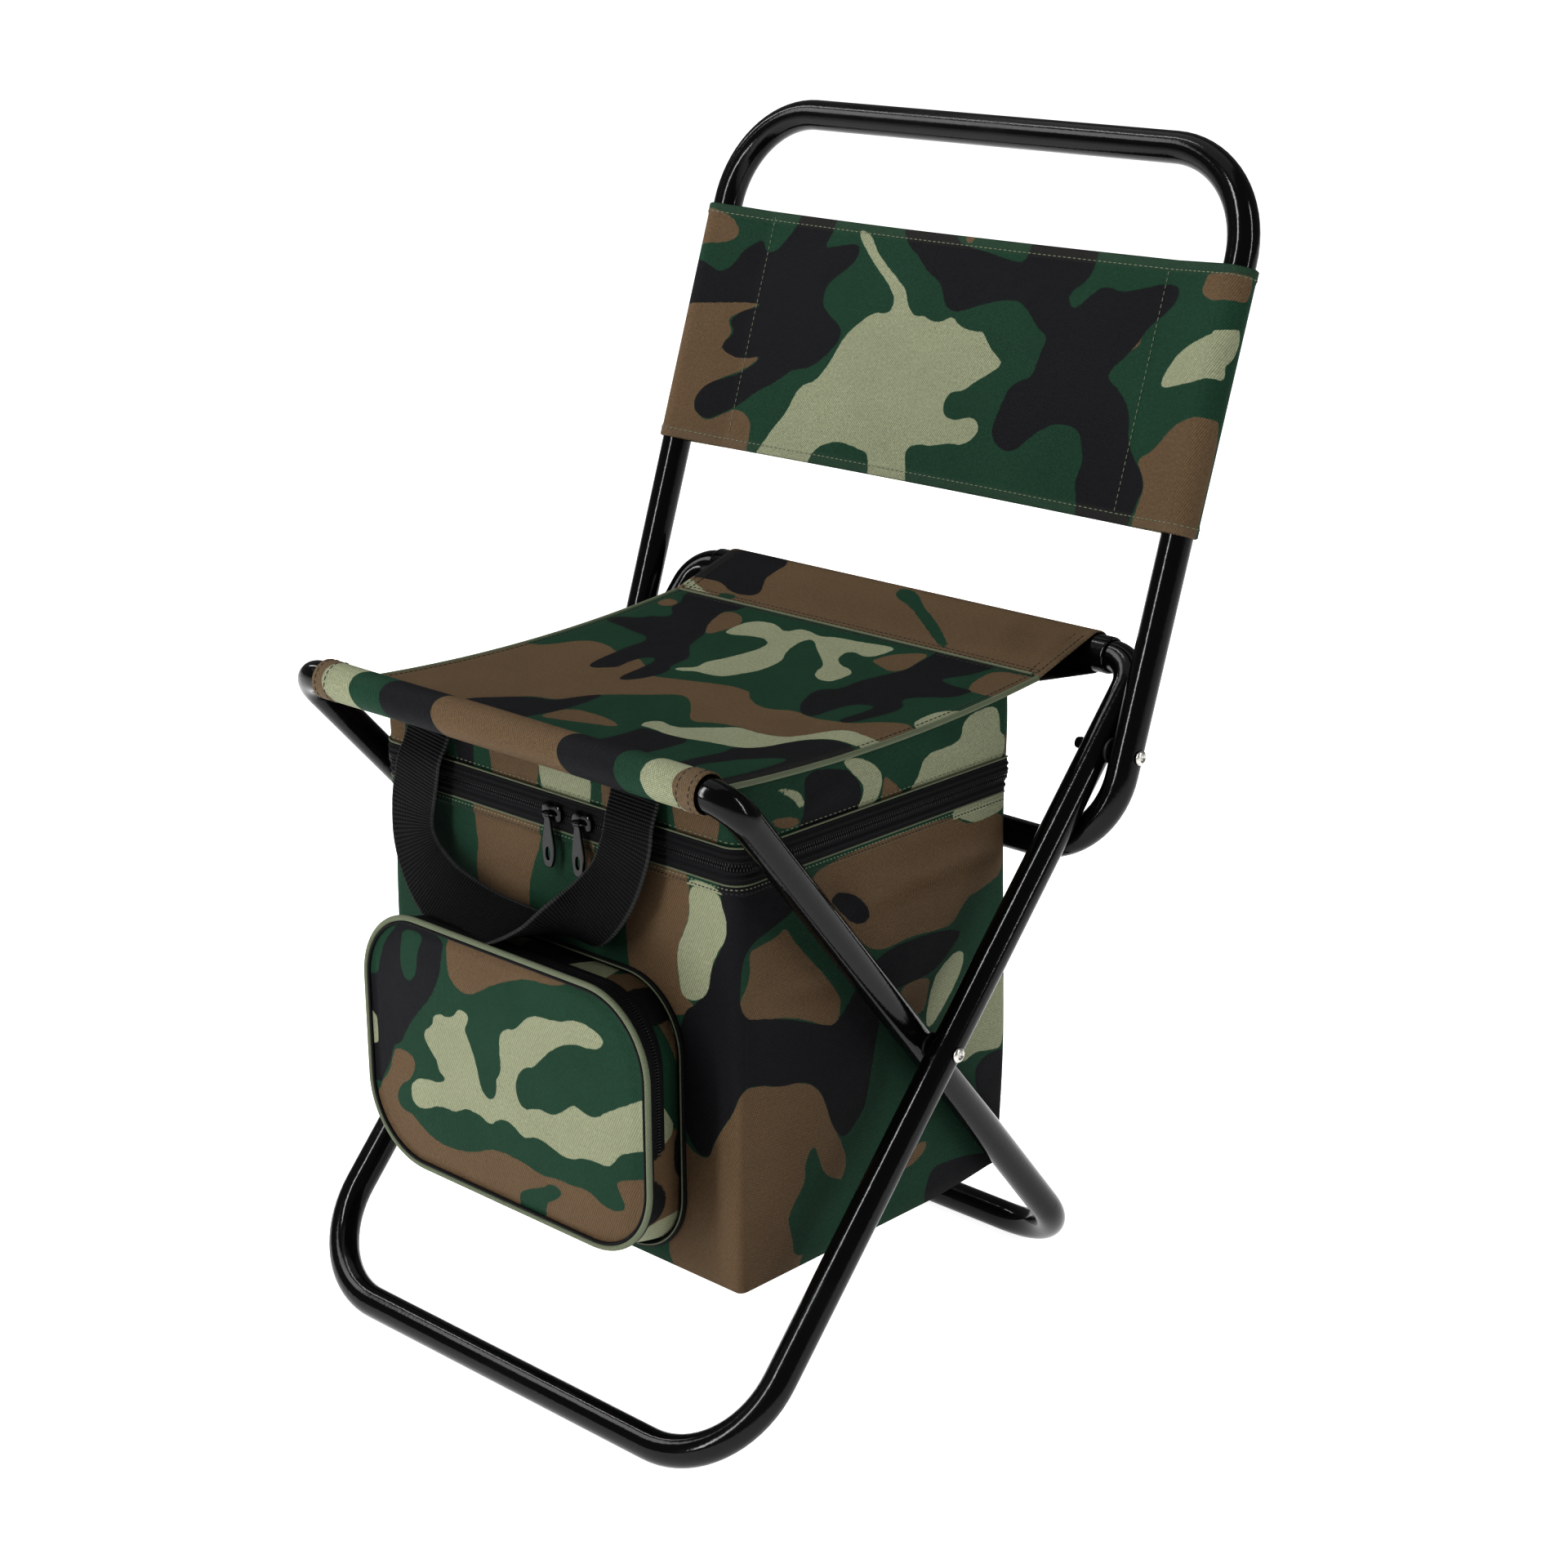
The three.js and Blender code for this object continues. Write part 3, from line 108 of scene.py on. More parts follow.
# Camouflage outlines: a colour, then the corners of a blot. Later blots lie on earlier ones.
BLOTS = {
    "back": """
brown -176 184 -155 187 -126 190.5 -140 184 -150 178 -144 171 -150 163 -140 157.5 -119 162 -130 153 -145
146 -156 138 -160 128 -150 120 -140 126 -132 131 -122 128 -117 122 -117 110 -176 110
brown -176 238 -161 235 -152 225 -157.5 220 -166 217.5 -176 214
brown 139 141 150 146 157.5 157.5 167.5 164 177.5 166 190 164 190 110 146 110 147.5 120 149.5 127.5 146 134
brown 160 235 190 236 190 224 177.5 222.5 165 221 157.5 225 159 230
brown -1 240 9 240 8 236 1 236
black -112 240 -86 240 -90 232 -94 223 -84 226 -72 228.5 -68 226 -70 218 -78 211 -84 206 -86 200 -85 193
-78 188 -70 184 -67 180 -68 174 -76 165 -84 158.5 -95 157 -103 151 -110 146 -120 141 -130 132.5 -139
127.5 -149 121 -157.5 125 -159 131 -155 140 -145 145 -136 149 -127 154.5 -120 161 -130 158.7 -140 157.5
-149 161 -149 165 -142.5 171 -147.5 176 -146 179.5 -141 183.7 -135 186 -127 189 -140 188.5 -155 186 -169
183.7 -176 180 -176 206 -172 207.5 -165 204 -160 202 -152.5 207.5 -149 216 -142.5 221 -137.5 223.7 -135
217.5 -127.5 217.5 -121 226 -115 235
black -45.5 240 -40 233.7 -27.5 226 -20 219 -9 214 -5 207.5 -2.5 202.5 4 199.5 10 201 22.5 206 35 209.5
45 210 52.5 205 60 197.5 68 194 65 185 64 172.5 56 170 50 164 47.5 152.5 45.5 142.5 50 136 57.5 133 65
135 71 142.5 79 149 89 152.5 101 150 104 142.5 107.5 135 104.5 125 109 116 112.5 110 142.5 110 146 120
149.5 127.5 145 135 137.5 141 131 149 129 162.5 120 172.5 110 177.5 111 182.5 122.5 194 127.5 205 137.5
214 143 220 142.5 226 134 228 120 224 107.5 220.5 97.5 223 92.5 221 85 214 80 209 76 212.5 75 217.5 82.5
222.5 87.5 230 89.5 240 45.5 240 45 230 35 229.5 20 232.5 5 234 -5 237 -10 240
khaki -74 235.5 -65 236 -55 224 -40 214 -30 207.5 -27.5 200 -20 194 -16 196 -7.5 193 -1 194 4 198 10
192.5 22.5 191 26 192.5 31 186 37.5 181 44 177 35 170 27.5 165 22.5 160 14 159 11 152.5 12.5 146 20 144
30 147.5 36 146 38 140 30 132 20 132.5 10 129 -1 129 -7.5 125 -6 120 1 110 -27.5 110 -30 119 -40 121
-52.5 123 -62.5 120 -70 115 -74 110 -115 110 -104 120 -94 132.5 -90 145 -85 150 -77.5 152 -70 164 -65
177.5 -57.5 186 -47.5 194 -40 193 -36 197.5 -37.5 204 -47.5 212.5 -61 222.5
khaki 142.5 176 147.5 189 155 197.5 167.5 204 179 209 187 211 187 199 182.5 195 185 184 177.5 185 160
180""",
    "seat": """
brown -117 -12.5 -110 0 -107.5 7.5 -100 14 -85 12 -77 7.5 -60 9 -34 -10 -25 -6 -10 -1 0 2.5 10 5 22.5 4
27.5 -2.5 35 -7.5 44 -11 52.5 -9.5 59 -4 72.5 -7 87.5 -4 95 -2.5 102.5 6 112.5 12.5 119 12.5 126 0 126
-19 101 -10 94 -16 89 -32.5 85 -40 70 -43 60 -41 45 -44 37.5 -50.5 30 -46 22.5 -37.5 15 -30 7.5 -24 -1
-21 -10 -31 -20 -40 -27.5 -47.5 -34 -60 -35 -72.5 -47.5 -76 -52.5 -86 -60 -95 -66 -130 -126 -130 -126
-12.5
brown -77 87.5 -67.5 89 -56 80 -55.5 70 -57.5 57.5 -60 55 -69 65 -75 78
brown 41 79 45 87.5 60 97 62.5 80 64 72.5 60 65.5 50 69 40 72.5
brown 102.5 97 126 97 126 67.5 112.5 65 107.5 67.5 102.5 80
brown -20 -76 0 -75 15 -79 20 -84 7.5 -89 -5 -95 -17.5 -100 -20 -90
brown -120 87 -108 85 -108 76 -119 76
black -116 94.5 -107.5 85 -108 77.5 -97.5 69 -97.5 64 -106 61 -108 55 -120 50 -123 45 -120 41 -110 40.5
-97.5 37.5 -84 36 -78 30 -79 20 -77 5 -75 -7.5 -71 -17.5 -66 -19.5 -60 -12.5 -57.5 -10 -60 0 -60 9 -55
14 -50 9 -47.5 -5 -46 -15 -44 -22.5 -39 -24 -34 -15 -32.5 -2.5 -34 4 -39 10 -39 22.5 -46 30 -54 37.5
-57.5 47.5 -60 55 -67.5 64 -72.5 72.5 -76 82.5 -77.5 87.5 -70.5 92.5 -76 99 -116 99
black 60 99 103 99 97.5 85 90 75 88 70 97.5 67 111 67.5 112 64 109 54 100 49 91 41 92.5 36 97.5 32.5 100
25 97.5 12.5 94 -2.5 89 -4.5 86 0 87.5 10 88 20 86 24 77.5 21 74.5 15 73 2.5 72.5 -6 65 -5 59 0 55 5 50
15 47 24 50 29 56 32.5 55 45 57.5 55 61 64 64 72.5 62.5 82.5
black -27.5 -47.5 -24 -57.5 -21 -75 -20 -90 -21 -130 -66 -130 -64 -101 -57.5 -92.5 -51 -82.5 -44 -76 -35
-75 -34 -62.5 -31 -52.5
black 27.5 -74 45 -75.5 61 -74.5 62.5 -90 61 -130 30 -130 31 -92.5 29 -80
black 91 -60 93 -37.5 101 -28 111 -26 125 -31 126 -60 126 -130 116 -130 115 -72.5 111 -62.5 102.5 -72.5
94 -87.5 90 -130 81 -130 85 -77.5 80 -69
khaki -56 77.5 -52.5 85 -42.5 87.5 -35 85 -27 80.5 -24 87.5 -19 89 -5 85 0 89 17.5 90 30 92.5 37.5 93
40.5 89 37.5 77.5 32.5 75 25 78 20.5 75.5 22.5 67.5 30 60 40 58 45.5 52.5 44.5 39 40 37 32.5 39.5 27.5
45 25 54 17.5 61 9 67.5 1 74 -5 79.5 -9 79 -10 72.5 -6 59 1 50 3 40 2.5 30 -1 22.5 -5 12.5 -15 10.5
-22.5 11 -27.5 7 -32.5 6 -34.5 9 -26 15 -29 24 -25 32.5 -23 42.5 -20.5 55 -22.5 64 -29 68 -37.5 67.5
-47.5 62.5 -54.5 63
khaki 25 -60 21 -66 25 -74 30 -72.5 45 -75.5 57.5 -75 70 -69 82.5 -67.5 90 -60 92 -47.5 94 -35 100 -27.5
110 -25 126 -31 126 -19 112.5 -12.5 101 -10.5 94 -16 89 -30 85 -40 70 -43 59 -41 52.5 -49 44 -57.5 40
-62.5 32.5 -62.5
khaki 126 46 120 41 116 32.5 116 21 120 12.5 126 2""",
    # The tongue's black blot over all places past 177 mm is painted shade: it covers the lower layer of the
    # loop round the rear rail, which lies in shadow
    "tongue": """
brown -900 -400 900 -400 900 800 -900 800
black -900 177 900 177 900 800 -900 800
black -131 150 -80.5 150 -84 129 -81 122.5 -75 114 -76 109 -87.5 107 -97.5 110 -105 114.5 -120 114 -129
112.5
khaki -127 113 -120 108 -112 105 -97 102 -127 102
green -2.5 145 10 145 25 132.5 40 124 55 112.5 65 104.5 59 104 47.5 111 32.5 121 15 132.5 1 136
green -97 106 -85 106 -85 101 -97 101""",
    "lid": """
brown -150 340 -106 340 -106 290 -150 290
brown -44 340 -8 340 -8 290 -44 290
brown 35 340 43 340 43 290 35 290
brown 82 340 112 340 112 290 82 290
brown 220.3 312 231.8 302 237.8 297 217.8 297 220.3 305
brown 141.8 309 161.8 306 163.8 301 150.8 302
brown 309.8 311 320 311 320 298 309.8 298
black -68 340 -55 340 -55 290 -68 290
black 165.8 326 190.8 322 200.8 316 205.8 307 202.8 298 202 290 162 290 161.8 298 166.8 310
khaki -10 335 25 335 30 291 -4 291 -8 305
khaki 190.8 326 202.8 324 212.8 319 219.8 312 218.8 304 213.8 298 200.8 298 206.8 305 205.8 311 198.8 317
khaki 238.8 300 243.8 302 250.3 314 267.8 314 276.8 316 277.8 326 301.8 328 305.3 320 305.3 312 310.3
310 310.3 302 305.3 297 240.3 297
khaki 150.8 322 163.8 317 166.8 310 162.8 309 158.8 315 147.8 321""",
    "bag": """
brown -55 290 -7.5 290 -7.5 272 -12.5 262 -16 252 -17.5 240 -17 218 -50 218 -50 235 -55 240 -56 250 -54
260 -56 270
brown 21 282 30 282 30 275 26 262 22 264
brown 50 290 91 290 92.5 262 87.5 250 84 242 84 228 86 219 95 217 92 211 88 210 70 205 50 215
brown 89 190 93 192 96 187 94 181 90 181
brown 171.8 273 190.8 279 272.8 279 279.8 272 290.8 269 314.8 271 316.8 240 292.8 233 285.8 233 278.8
227 272.8 221 257.8 222 242.8 224 217.8 222 202.8 235 187.8 255 174.8 268
brown 130.3 247.5 137.8 249 150.3 250 155.3 254 160.3 245 192.8 210 192.8 200 190.3 194 181.8 196 167.8
204 150.3 210 132.8 212.5 123.8 217.5 123.3 225 130.3 232.5 132.3 240
brown 235.3 105 242.8 111 255.3 112.5 256.8 107.5 247.8 102.5 237.8 101
brown 232.8 200 257.8 200 255.3 190 252.8 180 237.8 185
black 111 276 116 262 115 254 105 237 104 227 95 217 86 210 84 190 84 160 92.5 145 97.5 142 104 142.5
106 150 112.5 160 119 170 124 181 138 180.5 150 175 168 172.5 178 165 182.5 155 185.8 145 193 134 200
136 210 145 212 152 222.8 198 232.8 200 257.8 200 267.8 205 280.3 215 277.8 217.5 257.8 222 215.8 222
191 194 182 196 151 210 123.8 216 124 235 128 250 150 256 166 262 172 268 168 276 140 284 112 284
black 290.3 137.5 302.8 144 322.8 141 322.8 100 302.8 105
black 257.8 95 272.8 94 292.8 90 318.8 82 318.8 70 252.8 70
khaki 91 276 111 276 112.5 270 116 262.5 115 254 110 247.5 105 237.5 104 227.5 100 221 91 217.5 86 220
84 230 84 241 87.5 250 92.5 260
khaki 272.8 280 316.8 281 316.8 272 302.8 270 290.3 269.5 282.8 272.5 277.8 275
khaki 257.8 192.5 262.8 200 277.8 207.5 283.8 202.5 277.8 190 257.8 170 253.8 175
khaki 277.8 150 292.8 170 316.8 192.5 316.8 142.5 302.8 145 292.8 147.5 282.8 144
brown 124 181 119 170 112 160 106 150 104 142 95 141 88 146 82 146 80 100 72 84 84 70 124 70 162.8 70
162.8 78 177.8 100 192.8 112 197.8 120 192.8 134 185.8 145 182.8 155 177.8 165 167.8 172 150.8 175 137.8
180
black 185.3 259 192.8 260 205.3 255 213.8 246 212.8 240 202.8 241 195.3 247.5 188.8 254
green 171.8 137 175.3 136 177.8 127.5 181.8 119 192.8 112.5 200.3 107.5 187.8 90 175.3 82.5 160.3 82.5
158.8 95 155.3 105 160.3 112.5 167.8 120 167.8 130""",
    "pocket": """
brown -38.4 228 63 228 47 222 21 220.6 11 217 -1 212 -11 206 -17 202.4 -24 201.4 -31 204 -36 210
brown -96 130 -85 141 -82 149 -79 156 -72 157.6 -64 156 -63 151 -67 143 -75 138 -78 133 -79 128 -74 124
-67 124.6 -59 119 -47 115 -35 115 -21 118 -9 124 3 126 19 125 31 122.6 39 125 51 124.6 62 125.4 69 121
75 119.4 83 121 85 125 81 131 79 137 99 145 99 98 -99 98
black -99 187 -90 192 -90 199 -85 211 -78 219 -72 225 -39 225 -40 215 -41 204 -48 192 -60 180 -68 170
-74 160 -80 158 -83 148 -90 138 -94 131 -99 140
khaki -99 172 -95 172 -93.6 161 -95 151 -99 159
khaki -67 140 -62 145 -55 147 -45 147.6 -39.4 151 -45 154 -46 159 -50 163 -55 168 -54.6 173 -47 178 -47
183 -42 185.6 -36 185 -30 188 -28 192 -22 192.4 -19 189.4 -23.4 183 -21 178 -17 170 -15 161 -13 154 -9
150.6 -5 151.4 -2 155 -1.4 163 3 169 2 181 3 188 7 192 14 193 20 200 27 204.6 43 205 53 209.4 63 209.4
72 206 73.6 203 69 198.6 63 198 53 197.4 43 193.4 33 185 27 178 20 176 15 171 12.4 163 14 157 19 153.4
25 156 30 157.6 37 156.4 43 159 53 167 58 165 67 163.4 75 170 99 190 99 160 83 152 76 141 67 142 59
141.4 48 137 35 141 25 142 18 138 11 142 4 144 -3 141 -7 137 -17 140.6 -27 140 -33 135.6 -45 136 -57 130
-64 129.6 -67 134
green -70 222 -53 223 -58 213 -58 202 -64 195.6 -69 198 -71.4 205 -70.6 215
green -99 187 -90 193 -89.5 198 -85 211 -91 205 -99 195
green 7 98 10 107 19 112 31 117 35 120.6 42 120 43 117 37 112 29 107 25 98""",
    "sleeve": """
brown -140 -40 -120 -40 -120 40 -140 40
khaki -120 -40 -99.6 -40 -99.6 40 -120 40
black -76.8 -40 -39 -40 -39 40 -76.8 40
brown -39 -40 48.3 -40 48.3 40 -39 40
black 48.3 -40 84.9 -40 84.9 40 48.3 40
khaki 102 -40 121.8 -40 121.8 40 102 40
brown 121.8 -40 140 -40 140 40 121.8 40""",
}
# Blots are drawn out past these edges of a panel: its low and high x, then its low and high y
BLOT_EDGES = {"back": (-176, 187, 110, 240), "seat": (-126, 126, -130, 99), "pocket": (-99, 99, 98, 226)}
EDGE_REACH = 0.6
PRINTED = ("brown", "black", "khaki", "green")
BLOT_MARGIN = 14.0


# Outlines and patterns

def rounded(outline, turns=2):
    """The outline with its corners cut at a quarter and three quarters of each side, a few times over."""
    for _ in range(turns):
        following = np.roll(outline, -1, 0)
        cut = np.stack([0.75 * outline + 0.25 * following, 0.25 * outline + 0.75 * following], 1)
        outline = cut.reshape(-1, 2)
    return outline


def depth_inside(outline, places):
    """How deep places lie in an outline: the distance to its nearest side, less than zero outside,
    where a ray from a place crosses the outline an even number of times."""
    step = np.roll(outline, -1, 0) - outline
    reach = places[:, None] - outline
    share = np.clip((reach * step).sum(-1) / np.maximum((step ** 2).sum(-1), 1e-9), 0, 1)
    distance = np.linalg.norm(reach - share[..., None] * step, axis=-1).min(1)
    over = (reach[..., 1] >= 0) != (reach[..., 1] >= step[:, 1])
    slope = np.where(step[:, 1] == 0, 1e-9, step[:, 1])
    left = reach[..., 0] < reach[..., 1] * step[:, 0] / slope
    return np.where((over & left).sum(1) % 2, distance, -distance)


def wave_field(seed, u, v, wavelength):
    """A smooth random field about as tall as a quarter of its wavelength: a sum of sixteen sine waves."""
    random = np.random.default_rng(seed)
    turn, phase = random.uniform(0, 2 * np.pi, (2, 16))
    pace = 2 * np.pi / (wavelength * random.uniform(0.7, 1.4, 16))
    wave = np.sin(pace * (u[..., None] * np.cos(turn) * 0.75 + v[..., None] * np.sin(turn)) + phase)
    return wave.sum(-1) * wavelength / 22


def printed(panel, u, v, margin=BLOT_MARGIN):
    """Depth of each place in the panel's blots, colour by colour."""
    places = np.stack([u.ravel(), v.ravel()], -1)
    depths = {colour: np.full(len(places), -margin) for colour in PRINTED}
    edges = BLOT_EDGES.get(panel)
    for colour, numbers in re.findall("([a-z]+)([^a-z]+)", BLOTS[panel]):
        outline = np.array(numbers.split(), float).reshape(-1, 2)
        if edges:
            low, high = np.array(edges[::2]) + EDGE_REACH, np.array(edges[1::2]) - EDGE_REACH
            outline = outline + margin * ((outline >= high) * 1.0 - (outline <= low))
        outline = rounded(outline)
        near = np.all((places > outline.min(0) - margin) & (places < outline.max(0) + margin), 1)
        if near.any():
            depth = depth_inside(outline, places[near])
            above = PRINTED[PRINTED.index(colour) + 1:]
            depths[colour][near] = np.maximum(depths[colour][near], depth)
            for other in above:
                depths[other][near] = np.minimum(depths[other][near], np.maximum(-depth, -margin))
    return {colour: depth.reshape(u.shape) for colour, depth in depths.items()}


def strewn(seed, u, v):
    """Blots of a panel that the eye seldom sees: three random fields, each above its own height."""
    names = ("brown", "black", "khaki")
    field = {n: wave_field(seed + k, u, v, 105 - 12 * k) - 2 - 3 * k for k, n in enumerate(names)}
    return {**field, "green": np.full(u.shape, -BLOT_MARGIN)}


def mixed(first, second, share):
    """Blots that go over from one pattern to another as share goes from 0 to 1."""
    lowered = 40
    return {n: np.maximum(first[n] - lowered * share, second[n] - lowered * (1 - share)) for n in PRINTED}


# Meshes

def unit(vectors):
    """The vectors, each at length one."""
    return vectors / np.maximum(np.linalg.norm(vectors, axis=-1, keepdims=True), 1e-9)


def points_of(x, y, z):
    """Points from their coordinates, each a number or an array."""
    return np.stack(np.broadcast_arrays(x, y, z), -1)


def circle_of(count):
    """Points of the unit circle at equal steps."""
    angle = np.arange(count) * 2 * np.pi / count
    return np.stack([np.cos(angle), np.sin(angle)], -1)


def cells(index):
    """The four-sided faces between the rows and columns of a grid of point numbers."""
    return np.stack([index[:-1, :-1], index[:-1, 1:], index[1:, 1:], index[1:, :-1]], -1).reshape(-1, 4)


class Solid:
    """Points, faces and point values of one piece, gathered from closed surfaces in millimetres."""

    def __init__(self):
        self.points, self.quads, self.triangles, self.values, self.count = [], [], [], {}, 0

    def add(self, points, quads, triangles=(), **values):
        """Takes in one closed surface and turns it outwards, by the sign of the volume in its faces."""
        points = np.asarray(points, float).reshape(-1, 3)
        quads = np.asarray(quads, int).reshape(-1, 4)
        triangles = np.asarray(triangles, int).reshape(-1, 3)
        split = np.concatenate([quads[:, [0, 1, 2]], quads[:, [0, 2, 3]], triangles])
        corner = (points - points.mean(0))[split]
        volume = np.einsum("ij,ij->i", corner[:, 0], np.cross(corner[:, 1], corner[:, 2])).sum()
        if volume < 0:
            quads, triangles = quads[:, ::-1], triangles[:, ::-1]
        self.points.append(points)
        self.quads.append(quads + self.count)
        self.triangles.append(triangles + self.count)
        for name in set(values) | set(self.values):
            own = values.get(name)
            if own is None:
                own = np.zeros(len(points))
            if name not in self.values:
                width = np.shape(own)[1:] if np.ndim(own) > 1 else ()
                self.values[name] = [np.zeros((self.count, *width))] if self.count else []
            first = self.values[name][0] if self.values[name] else np.asarray(own)
            if np.ndim(own) == 1 and first.ndim > 1:
                own = np.zeros((len(points), first.shape[1]))
            self.values[name].append(np.asarray(own, float))
        self.count += len(points)

    def loft(self, grid, ring_rows=False, **values):
        """A closed surface over a grid whose columns run round it. Its rows close on themselves as well,
        or its first and last row are closed by a fan round their middle."""
        rows, columns = grid.shape[:2]
        index = np.arange(rows * columns).reshape(rows, columns)
        wide = np.hstack([index, index[:, :1]])
        tall = np.vstack([wide, wide[:1]]) if ring_rows else wide
        quads = cells(tall)
        points, triangles = grid.reshape(-1, 3), []
        values = {n: np.asarray(v).reshape(rows * columns, *np.shape(v)[2:]) for n, v in values.items()}
        if not ring_rows:
            points = np.vstack([points, grid[0].mean(0), grid[-1].mean(0)])
            values = {n: np.concatenate([v, v[:1], v[-1:]]) for n, v in values.items()}
            low, high = rows * columns, rows * columns + 1
            first, last = wide[0], wide[-1]
            triangles = np.vstack([
                np.stack([first[1:], first[:-1], np.full(columns, low)], -1),
                np.stack([last[:-1], last[1:], np.full(columns, high)], -1),
            ])
        self.add(points, quads, triangles, **values)

    def sheet(self, grid, thickness, ring=False, **values):
        """A sheet over a grid: the grid moved half the thickness each way along its normals, with
        rounded borders. With ring, its columns run round and close on themselves."""
        rows, columns = grid.shape[:2]
        wrap = np.concatenate([grid[:, -1:], grid, grid[:, :1]], 1) if ring else grid
        across = np.gradient(wrap, axis=1)[:, 1:-1] if ring else np.gradient(grid, axis=1)
        normal = unit(np.cross(across, np.gradient(grid, axis=0)))
        half = np.asarray(thickness)[..., None] / 2 if np.ndim(thickness) else thickness / 2
        top, bottom = grid + normal * half, grid - normal * half

        def beyond(edge, inner):
            """A border's middle line, moved out by half the thickness."""
            return edge + unit(edge - inner) * np.mean(thickness) / 2

        n = rows * columns
        T, B = np.arange(n).reshape(rows, columns), n + np.arange(n).reshape(rows, columns)
        points = [top.reshape(-1, 3), bottom.reshape(-1, 3)]
        S, E = 2 * n + np.arange(columns), 2 * n + columns + np.arange(columns)
        points += [beyond(grid[0], grid[1]), beyond(grid[-1], grid[-2])]
        close = (lambda a: np.concatenate([a, a[..., :1]], -1)) if ring else (lambda a: a)
        t, b, s, e = close(T), close(B), close(S), close(E)
        quads = [
            cells(t), cells(b)[:, [0, 3, 2, 1]],
            np.stack([s[:-1], s[1:], t[0, 1:], t[0, :-1]], -1),
            np.stack([b[0, :-1], b[0, 1:], s[1:], s[:-1]], -1),
            np.stack([t[-1, :-1], t[-1, 1:], e[1:], e[:-1]], -1),
            np.stack([e[:-1], e[1:], b[-1, 1:], b[-1, :-1]], -1),
        ]
        triangles, order = [], [T.ravel(), T.ravel(), T[0], T[-1]]
        if not ring:
            L = 2 * (n + columns) + np.arange(rows)
            R = L + rows
            points += [beyond(grid[:, 0], grid[:, 1]), beyond(grid[:, -1], grid[:, -2])]
            order += [T[:, 0], T[:, -1]]
            quads += [
                np.stack([L[:-1], T[:-1, 0], T[1:, 0], L[1:]], -1),
                np.stack([B[:-1, 0], L[:-1], L[1:], B[1:, 0]], -1),
                np.stack([T[:-1, -1], R[:-1], R[1:], T[1:, -1]], -1),
                np.stack([R[:-1], B[:-1, -1], B[1:, -1], R[1:]], -1),
            ]
            triangles = [
                (S[0], T[0, 0], L[0]), (L[0], B[0, 0], S[0]),
                (R[0], T[0, -1], S[-1]), (S[-1], B[0, -1], R[0]),
                (L[-1], T[-1, 0], E[0]), (E[0], B[-1, 0], L[-1]),
                (E[-1], T[-1, -1], R[-1]), (R[-1], B[-1, -1], E[-1]),
            ]
        order = np.concatenate(order)
        flat = {name: np.asarray(v).reshape(n, *np.shape(v)[2:])[order] for name, v in values.items()}
        self.add(np.vstack(points), np.vstack(quads), triangles, **flat)

    def tube(self, path, radius, plane, sides=32, ring=False):
        """A round bar along a flat path: circles at its points, square to its direction, that use the
        plane's normal as one axis. With ring, its last circle joins its first."""
        path = np.asarray(path, float)
        wrap = np.vstack([path[-1:], path, path[:1]]) if ring else path
        along = unit(np.gradient(wrap, axis=0)[1:-1] if ring else np.gradient(path, axis=0))
        plane = unit(np.asarray(plane, float))
        out = unit(np.cross(along, plane))
        radius = np.broadcast_to(radius, len(path))[:, None, None]
        circle = circle_of(sides)
        grid = path[:, None] + radius * (circle[:, :1] * plane + circle[:, 1:] * out[:, None])
        turn = np.arange(sides) * 2 * np.pi / sides * float(radius.mean())
        self.loft(grid, ring_rows=ring, cloth=cloth_place(turn, measured(path)[:, None]))

    def turned(self, profile, at, side=1, hollow=False):
        """A piece turned on a lathe whose axis is a line along X at (y, z): rings of the profile's
        (radius, x) pairs."""
        reach, x = np.array(profile, float).T
        ring = np.array(at) + reach[:, None, None] * circle_of(28)
        self.loft(points_of(side * x[:, None], ring[..., 0], ring[..., 1]), ring_rows=hollow)

    def strew(self, form, places, along, up, size):
        """Copies of a small form at many places: each copy's axes are the direction along, the one
        across and the one up, times the form's length, width and height."""
        points, quads, triangles = form
        along = unit(along)
        across = unit(np.cross(up, along))
        up = np.cross(along, across)
        axes = np.stack([along, across, up], 1) * np.asarray(size, float)[..., None]
        every = (places[:, None] + np.einsum("pk,nkj->npj", points, axes)).reshape(-1, 3)
        start = np.arange(len(places))[:, None, None] * len(points)
        self.add(every, (quads + start).reshape(-1, 4), (triangles + start).reshape(-1, 3))

    def place(self, name, finish, body=None, replaces=None, slot=None, squash=False, crease=50):
        """Puts the gathered mesh into the scene in metres, with its finish, lets it ride its body and stand for
        the CAD node that it replaces. Its slot argument is not used."""
        points = (np.vstack(self.points) + [0, SHIFT, 0]) * MM
        quads, triangles = np.vstack(self.quads), np.vstack(self.triangles)
        corners = np.concatenate([quads.ravel(), triangles.ravel()])
        sizes = np.concatenate([np.full(len(quads), 4), np.full(len(triangles), 3)])
        mesh = bpy.data.meshes.new(name)
        mesh.vertices.add(len(points))
        mesh.vertices.foreach_set("co", points.astype(np.float32).ravel())
        mesh.loops.add(len(corners))
        mesh.loops.foreach_set("vertex_index", corners.astype(np.int32))
        mesh.polygons.add(len(sizes))
        mesh.polygons.foreach_set("loop_start", (np.cumsum(sizes) - sizes).astype(np.int32))
        mesh.update(calc_edges=True)
        for value, parts in self.values.items():
            data = np.concatenate(parts)
            kind = "FLOAT_VECTOR" if data.ndim > 1 else "FLOAT"
            field = mesh.attributes.new(value, kind, "POINT")
            field.data.foreach_set("vector" if data.ndim > 1 else "value", data.astype(np.float32).ravel())
        mesh.polygons.foreach_set("use_smooth", np.ones(len(sizes), bool))
        mesh.set_sharp_from_angle(angle=math.radians(crease))
        mesh.materials.append(finish_of(finish))
        piece = bpy.data.objects.new(name, mesh)
        bpy.context.scene.collection.objects.link(piece)
        if body:
            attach(piece, body)
        if squash:
            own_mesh(piece)
        if replaces:
            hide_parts(replaces)
